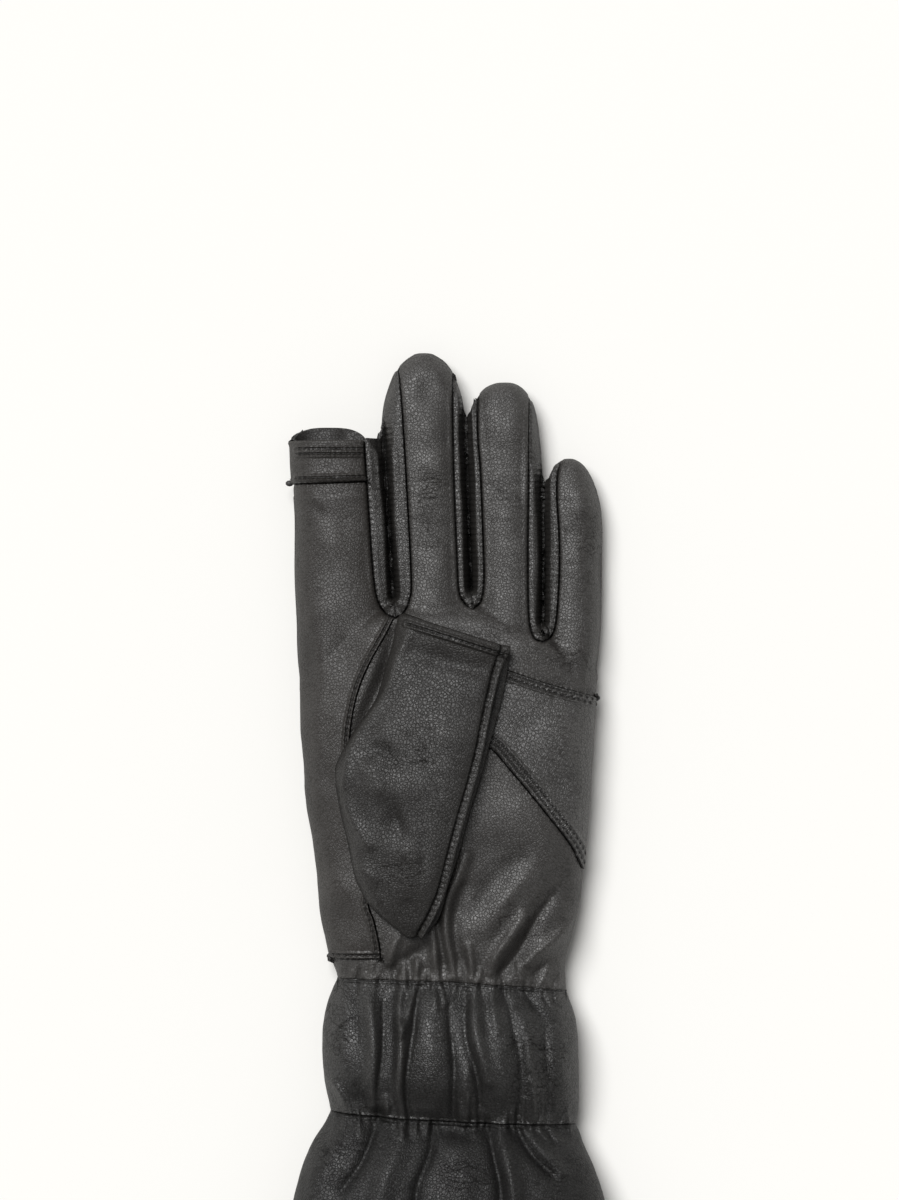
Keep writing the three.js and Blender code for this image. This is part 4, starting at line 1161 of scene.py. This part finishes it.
def leatherGrain():     # pebbles, the fine net between them, and the creases of soft hide
    group, given = makeGroup("leatherGrain", {"Position": None, "Pebbles": 1200.0, "Crease": 0.5},
                             ["Height", "Tone"])
    place = given["Position"]

    def cells(source, scale, edge):     # 0 between cells to 1 on them
        inputs = {"Vector": source, "Scale": scale}
        far = addNode(group, "ShaderNodeTexVoronoi", inputs, feature="DISTANCE_TO_EDGE")
        return ranged(far.outputs["Distance"], 0.0, edge, kind="SMOOTHSTEP")

    def warped(scale, much):            # positions pushed about, so that no cell is straight
        inputs = {0: clouds(place, scale, 3.0)["Color"], 1: (much, much, much), 2: place}
        return addNode(group, "ShaderNodeVectorMath", inputs, operation="MULTIPLY_ADD").outputs[0]

    def stretched(source, scale):
        return addNode(group, "ShaderNodeMapping", {"Vector": source, "Scale": scale}).outputs[0]

    fine, broad = warped(420.0, 0.0006), warped(170.0, 0.0042)
    pebble = cells(fine, given["Pebbles"], 0.18)
    net = cells(fine, compute("MULTIPLY", given["Pebbles"], 1.8), 0.2)
    base = compute("MULTIPLY_ADD", net, 0.3, compute("MULTIPLY", pebble, 0.7))
    longLines = cells(stretched(broad, (0.5, 1.35, 0.9)), 300.0, 0.2)
    ripple = clouds(stretched(broad, (0.3, 1.0, 0.5)), 620.0, 1.5)["Fac"]
    ridged = compute("ABSOLUTE", compute("SUBTRACT", ripple, 0.5))
    shortLines = compute("MINIMUM", compute("MULTIPLY", ridged, 14.0), 1.0)
    creases = compute("MULTIPLY_ADD", shortLines, 0.65, compute("MULTIPLY", longLines, 0.35))
    amount = compute("MULTIPLY", ranged(clouds(place, 95.0, 2.0)["Fac"], 0.4, 0.6), given["Crease"])
    dip = compute("MULTIPLY", compute("SUBTRACT", creases, 1.0), amount)
    height = compute("MULTIPLY_ADD", dip, 1.7, base)
    addNode(group, "NodeGroupOutput", {"Height": height, "Tone": ranged(height, -0.6, 1.0)})
    return group


def wearAndPaintedShade():    # lighter where the leather is rubbed at random, and on fold crests, darker in fold hollows: painted light on the crests and painted shade in the hollows
    group, given = makeGroup("wearAndPaintedShade", {"Position": None, "Crest": 0.0}, ["RubAndShade"])
    cloud = clouds(given["Position"], 55.0, 4.0, 0.6)["Fac"]
    raised = ranged(given["Crest"], -1.4, 1.8)
    rubAndShade = compute("MULTIPLY_ADD", raised, 0.6, compute("MULTIPLY", cloud, 0.5))
    addNode(group, "NodeGroupOutput", {"RubAndShade": rubAndShade})
    return group


def sewnLine():     # the sunk line of a seam or a row of stitches, and the leather gathered beside it
    group, given = makeGroup("sewnLine", {"Seam": 9.0, "Row": 9.0, "Along": 0.0, "Pitch": 1.9},
                             ["Height", "Shade"])
    seam, row = fading(given["Seam"], 0.0, 0.38), fading(given["Row"], 0.0, 0.5)
    beside = fading(compute("MINIMUM", given["Seam"], given["Row"]), 0.0, 1.5)
    puffed = compute("MULTIPLY", ranged(given["Row"], 0.2, 0.75, kind="SMOOTHSTEP"),
                     fading(given["Row"], 0.75, 1.6))
    turns = compute("DIVIDE", given["Along"], given["Pitch"])
    wave = compute("SINE", compute("MULTIPLY", turns, 2 * math.pi))
    gathered = compute("MULTIPLY", compute("MULTIPLY_ADD", wave, 0.13, 0.13), beside)
    sunk = compute("MULTIPLY_ADD", seam, -0.34, gathered)
    raised = compute("MULTIPLY_ADD", puffed, 0.42, sunk)
    # the dark line of a seam, its thread and holes with painted shade in its groove; where the input marks
    # a finger gap or a valley it is painted shade alone
    shade = compute("MULTIPLY_ADD", seam, -0.6, 1.0)
    dashed = compute("MULTIPLY", row, compute("MULTIPLY_ADD", wave, -0.22, 0.4))
    addNode(group, "NodeGroupOutput", {"Height": compute("MULTIPLY_ADD", row, -0.25, raised),
                                       "Shade": compute("SUBTRACT", shade, dashed)})
    return group


stitch = {"pitch": 1.9 * mm, "bandPitch": 1.6 * mm, "long": 1.4 * mm, "thick": 0.42 * mm}
elasticStitch = {"pitch": 2.5 * mm, "long": 1.1 * mm, "thick": 0.3 * mm}
grain, wearAndShade, sewn = leatherGrain(), wearAndPaintedShade(), sewnLine()
# Colours from the darkest, in grain grooves and in fold hollows with painted shade, to the lightest, where
# rubbed and on crests with painted light; pebbles to a metre, relief in mm.
leathers = {
    "palm": {"dark": (0.009, 0.0081, 0.0074), "light": (0.046, 0.0428, 0.0396), "pebbles": 980.0,
             "crease": 0.85, "relief": 0.105, "rough": (0.39, 0.56), "gloss": (0.2, 0.95)},
    "patch": {"dark": (0.0074, 0.0066, 0.006), "light": (0.038, 0.0354, 0.0328), "pebbles": 880.0,
              "crease": 0.2, "relief": 0.14, "rough": (0.37, 0.54), "gloss": (0.1, 1.45)},
    "index": {"dark": (0.0088, 0.0076, 0.0066), "light": (0.034, 0.0302, 0.027), "pebbles": 1000.0,
              "crease": 0.45, "relief": 0.09, "rough": (0.41, 0.58), "gloss": (0.1, 0.84)},
    "back": {"dark": (0.0075, 0.0068, 0.0062), "light": (0.027, 0.025, 0.0232), "pebbles": 1050.0,
             "crease": 0.5, "relief": 0.09, "rough": (0.42, 0.6), "gloss": (0.1, 0.75)},
    # the strips lie between the fingers: darker than the palm, painted shade
    "strip": {"dark": (0.0066, 0.006, 0.0054), "light": (0.034, 0.0317, 0.0294), "pebbles": 1000.0,
              "crease": 0.7, "relief": 0.11, "rough": (0.37, 0.55), "gloss": (0.1, 1.1)},
    # the thumb: darker than the palm, painted shade on its slopes
    "thumb": {"dark": (0.0064, 0.0057, 0.0051), "light": (0.024, 0.0222, 0.0204), "pebbles": 950.0,
              "crease": 0.8, "relief": 0.11, "rough": (0.38, 0.56), "gloss": (0.1, 0.66)},
    # the wrist band: darker, partly painted shade as the light falls off towards the hem
    "wrist": {"dark": (0.0045, 0.0042, 0.0039), "light": (0.022, 0.021, 0.0198), "pebbles": 950.0,
              "crease": 0.9, "relief": 0.11, "rough": (0.35, 0.54), "gloss": (0.1, 0.85)},
    # the cuff: darker still, partly painted shade as the light falls off towards the hem
    "cuff": {"dark": (0.0038, 0.0036, 0.0034), "light": (0.016, 0.0154, 0.0148), "pebbles": 950.0,
             "crease": 0.9, "relief": 0.11, "rough": (0.37, 0.55), "gloss": (0.1, 0.48)},
}


def leatherMaterial(name, look):
    material = bpy.data.materials.new(name + "Leather")
    material.use_nodes = True
    tree = material.node_tree
    tree.nodes.clear()
    place = addNode(tree, "ShaderNodeTexCoord").outputs["Object"]

    def spread(attribute):
        return addNode(tree, "ShaderNodeAttribute", attribute_name=attribute).outputs["Fac"]

    def effect(group, **inputs):
        return addNode(tree, "ShaderNodeGroup", inputs, node_tree=group).outputs

    often = compute("MULTIPLY", spread("creaseMask"), look["crease"])
    hide = effect(grain, Position=place, Pebbles=look["pebbles"], Crease=often)
    wornAndShaded = effect(wearAndShade, Position=place, Crest=spread("crestMask"))
    # seam darkness, with painted shade in the gaps between fingers and beside the thumb's raised seam
    line = effect(sewn, Seam=spread("seamAndShadeAway"), Row=spread("rowAway"), Along=spread("sewnAlong"),
                  Pitch=stitch["pitch"] / mm)
    # colour from the grain and rubbing, with painted light on fold crests and painted shade in fold
    # hollows
    blend = compute("MULTIPLY_ADD", hide["Tone"], 0.5, compute("MULTIPLY", wornAndShaded["RubAndShade"], 0.5))
    colour = mixed(blend, (*look["dark"], 1), (*look["light"], 1))
    turned = addNode(tree, "ShaderNodeLayerWeight", {"Blend": 0.5}).outputs["Facing"]
    # the painted shade dims the shine as well as the colour
    lit = compute("MULTIPLY", ranged(hide["Tone"], 0.0, 1.0, *look["gloss"]), line["Shade"])
    height = compute("MULTIPLY_ADD", hide["Height"], look["relief"], line["Height"])
    relief = addNode(tree, "ShaderNodeBump", {"Strength": 1.0, "Distance": mm, "Height": height})
    smooth, coarse = look["rough"]
    shader = addNode(tree, "ShaderNodeBsdfPrincipled", {
        "IOR": 1.48,
        "Base Color": mixed(1.0, colour, line["Shade"], "MULTIPLY"),
        "Specular IOR Level": compute("MULTIPLY", lit, ranged(turned, 0.35, 0.9, 1.0, 0.12)),
        "Roughness": ranged(blend, 0.0, 1.0, coarse, smooth),
        "Normal": relief.outputs[0],
    })
    addNode(tree, "ShaderNodeOutputMaterial", {0: shader.outputs[0]})
    return material


def plainMaterial(name, colour, rough, scale, spread):
    material = bpy.data.materials.new(name)
    material.use_nodes = True
    tree = material.node_tree
    place = addNode(tree, "ShaderNodeTexCoord").outputs["Object"]
    low, high = [(*[c * much for c in colour], 1) for much in (1 - spread, 1 + spread)]
    shader = tree.nodes["Principled BSDF"]
    shader.inputs["Roughness"].default_value = rough
    tree.links.new(mixed(clouds(place, scale, 3.0)["Fac"], low, high), shader.inputs["Base Color"])
    return material


materials = {name: leatherMaterial(name, look) for name, look in leathers.items()}
materials["thread"] = plainMaterial("thread", (0.011, 0.0105, 0.01), 0.45, 900.0, 0.3)
materials["seamEnd"] = plainMaterial("seamEnd", (0.03, 0.0285, 0.027), 0.5, 1400.0, 0.4)


def finishPiece(name, mesh, look, wall=glove["wall"]):
    obj = newObject(name + "_leather", mesh)
    mesh.materials.clear()
    mesh.materials.append(materials[look])
    if name == "hand_back":
        fewer = obj.modifiers.new("fewer", "DECIMATE")
        fewer.ratio = hand["backShare"]
    solid = obj.modifiers.new("wall", "SOLIDIFY")
    solid.thickness = wall
    solid.offset = -1
    solid.use_rim = True
    solid.use_even_offset = False
    if name == "hand_back":     # rests on the table
        settled = bakeModifiers(obj)
        spots = spotsOf(settled)
        spots[:, 2] = np.maximum(spots[:, 2], 0)
        setSpots(settled, spots)
    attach(obj, "root")
    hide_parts(name)
    return obj


pieceLooks = {
    "palm_upper": ("palm", "palm_leather"), "palm_patch": ("patch", "palm_leather"),
    "palm_lower": ("palm", "palm_leather"), "index_front": ("index", "index_leather"),
    "index_band": ("index", "index_leather"), "hand_back": ("back", "back_leather"),
    "fourchette_index_middle": ("strip", "palm_leather"),
    "fourchette_middle_ring": ("strip", "palm_leather"),
    "fourchette_ring_little": ("strip", "palm_leather"),
    "thumb": ("thumb", "palm_leather"), "wrist_band": ("wrist", "palm_leather"),
    "cuff": ("cuff", "palm_leather"),
}


# Rows of stitches beside a seam: the seam, and how far to the left of it in mm.
besideRows = {
    "palm_patch": [("patchTop", 0.6), ("patchTop", 2.1), ("patchLow", -1.8), ("patchLow", -3.3)],
    "index_front": [("indexPalm", -1.2), ("indexEdge", -1.2), ("indexFoot", -1.3)],
}
# Rows across the band at the fingertip, as shares: x, and y for each row.
bandX = (-0.51, -0.4, -0.285)
bandRows = [(0.8455, 0.8455, 0.8455), (0.8375, 0.8375, 0.8375), (0.799, 0.7995, 0.8015)]
# Rows on the elastic lines: the piece, its line and the ends as shares of the palm width.
elasticRows = [("wrist_band", wristSeamAt, -0.37, 0.385), ("cuff", cuffSeamAt, -0.39, 0.41)]


def stitchRows(line):       # rows of stitches in plan, by the piece that they lie on
    rows = {piece: [besideLine(line[name], away * mm) for name, away in given]
            for piece, given in besideRows.items()}
    rows["index_band"] = [smoothLine(plan(list(zip(bandX, along)))) for along in bandRows]
    thumbTop = evenSteps(plan([thumbRows[-1][0:2], thumbRows[-1][2:4]]), 0.4 * mm)
    rows["thumb"] = [besideLine(thumbTop, -thumb["rowFromEdge"])]
    for piece, lineAt, left, right in elasticRows:
        x = np.linspace(left, right, 240) * glove["palmWidth"]
        rows[piece] = [np.stack([x, lineAt(x)], axis=1)]
    return rows


skin = fuseHand()
found, lines, tab = labelFaces(skin)
touches, seam = snapSeams(skin, found, lines, tab)
gapAway = raiseShelves(skin, found, seam)
relaxSkin(skin, seam, 4)
print("hand labelled and snapped")
away = sculptHand(skin, touches, gapAway)
print("hand sculpted")
rows = stitchRows(lines)
ownSeams = [points for name, points in lines.items() if name != "thumbSeam"] + rows["wrist_band"]
meshes = partHand(skin, found, touches, away, ownSeams, rows)
palmTree = treeOfMesh(skin)
meshes["thumb"] = makeThumb(palmTree, lines["thumbSeam"], rows["thumb"])
wristGather, cuffGather = (wristSeamAt, puckers["wrist"]), (cuffSeamAt, puckers["cuff"])
meshes["wrist_band"] = makeSleeve(
    "wrist_band", wristRows, wristLine, glove["wristLength"], sleeve["wristAround"],
    sleeve["wristAlong"], [wristGather, cuffGather], rows["wrist_band"] + rows["cuff"])
meetHand(meshes["wrist_band"], palmTree)
meshes["cuff"] = makeSleeve(
    "cuff", cuffRows, cuffLine, glove["cuffLength"], sleeve["cuffAround"], sleeve["cuffAlong"],
    [cuffGather], rows["cuff"])
bpy.data.meshes.remove(skin)

pieces = {}
for name, (look, slot) in pieceLooks.items():
    wall = glove["bandWall"] if name == "index_band" else glove["wall"]
    pieces[name] = finishPiece(name, meshes[name], look, wall)
print("pieces", len(pieces))


# Stitches: short threads laid on a piece along its rows.
def sewRow(bm, tree, line, pitch=stitch["pitch"], long=stitch["long"], thick=stitch["thick"]):
    points = evenSteps(line, pitch / 2)
    for k in range(1, len(points) - 1, 2):
        before, here, after = points[k - 1], points[k], points[k + 1]
        spot, normal, _, _ = tree.ray_cast(Vector((*here, 0.2)), Vector((0, 0, -1)))
        if not spot:
            continue
        ahead = Vector((*(after - before), 0))
        ahead = (ahead - normal * ahead.dot(normal)).normalized()
        turn = Matrix((ahead, normal.cross(ahead), normal)).transposed().to_4x4()
        size = Matrix.Diagonal((long / 2, thick / 2, thick / 2, 1))
        at = Matrix.Translation(spot + normal * thick * 0.05)
        bmesh.ops.create_uvsphere(bm, u_segments=6, v_segments=5, radius=1, matrix=at @ turn @ size)


def finishThreads(name, bm, look="thread"):
    obj = newObject(name, meshOf(bm, name))
    obj.data.materials.append(materials[look])
    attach(obj, "root")
    print("threads", name, len(obj.data.polygons))


trees = {name: treeOfMesh(meshes[name]) for name in pieceLooks}
for name, sets in {"patch_stitches": ["palm_patch"], "index_stitches": ["index_front", "index_band"],
                   "thumb_stitches": ["thumb"]}.items():
    bm = bmesh.new()
    for piece in sets:
        for row in rows[piece]:
            sewRow(bm, trees[piece], row, stitch["bandPitch" if piece == "index_band" else "pitch"])
    finishThreads(name, bm)
for name, piece in (("wrist_stitches", "wrist_band"), ("cuff_stitches", "cuff")):
    bm = bmesh.new()
    sewRow(bm, trees[piece], rows[piece][0] - [0, elasticStitch["thick"]], **elasticStitch)
    if piece == "cuff":
        x = np.linspace(-0.57, 0.57, 200) * glove["palmWidth"]
        sewRow(bm, trees[piece], np.stack([x, 0 * x + hemLine + sleeve["hemLong"]], axis=1))
    finishThreads(name, bm)

# Where a seam comes out at the side, its ends stand out a little.
knot = {"from": 100 * mm, "size": (1.3 * mm, 1.0 * mm, 0.8 * mm, 1), "out": 0.2 * mm}
seamEnds = [    # piece, side, y and z in mm
    ("palm_patch", 1, 89.6, 9.5), ("palm_patch", 1, 33.5, 9), ("index_band", -1, 158.4, 9),
    ("index_front", -1, 7, 8.5),
]
bm = bmesh.new()
for piece, side, y, z in seamEnds:
    start = Vector((side * knot["from"], wristLine + y * mm, z * mm))
    spot, normal, _, _ = trees[piece].ray_cast(start, Vector((-side, 0, 0)))
    if spot:
        at = Matrix.Translation(spot + normal * knot["out"]) @ Matrix.Diagonal(knot["size"])
        bmesh.ops.create_uvsphere(bm, u_segments=10, v_segments=8, radius=1, matrix=at)
finishThreads("seam_ends", bm, "seamEnd")

# Floor, light and camera.
studio = {
    "floor": (0.93, 0.92, 0.89), "floorSize": 6.0,
    "photo": (899, 1200), "pixel": 0.32 * mm, "midline": 450, "linePixel": 978,
    "distance": 1.6, "levelAt": 10 * mm,
    "sensor": 36, "clip": 20, "below": 0.1 * mm,
    "worldColour": (1, 0.997, 0.99, 1), "world": 0.22,
    "key": 3.06, "keyToward": (-0.27, 0.38, 0.885), "keyAngle": 34,
}
bm = bmesh.new()
bmesh.ops.create_grid(bm, x_segments=8, y_segments=8, size=studio["floorSize"] / 2)
bmesh.ops.translate(bm, verts=bm.verts, vec=(0, 0, -studio["below"]))
floor = newObject("floor", meshOf(bm, "floor"))
floor.data.materials.append(plainMaterial("paleFloor", studio["floor"], 0.9, 3.0, 0.004))

world = bpy.data.worlds.new("studio")
world.use_nodes = True
background = world.node_tree.nodes["Background"]
background.inputs["Color"].default_value = studio["worldColour"]
background.inputs["Strength"].default_value = studio["world"]
bpy.context.scene.world = world
bpy.context.scene.view_settings.view_transform = "Standard"

light = bpy.data.lights.new("keyLight", "SUN")
light.angle = math.radians(studio["keyAngle"])
light.energy = studio["key"]
lamp = newObject("keyLight", light)
lamp.rotation_euler = Vector(studio["keyToward"]).to_track_quat("Z", "Y").to_euler()

camera = bpy.data.cameras.new("camera")
camera.sensor_width = studio["sensor"]
camera.lens = camera.sensor_width * studio["distance"] / (studio["photo"][1] * studio["pixel"])
camera.clip_end = studio["clip"]
eye = newObject("camera", camera)
eye.location = ((studio["photo"][0] / 2 - studio["midline"]) * studio["pixel"],
                wristLine + (studio["linePixel"] - studio["photo"][1] / 2) * studio["pixel"],
                studio["distance"] + studio["levelAt"])
bpy.context.scene.camera = eye
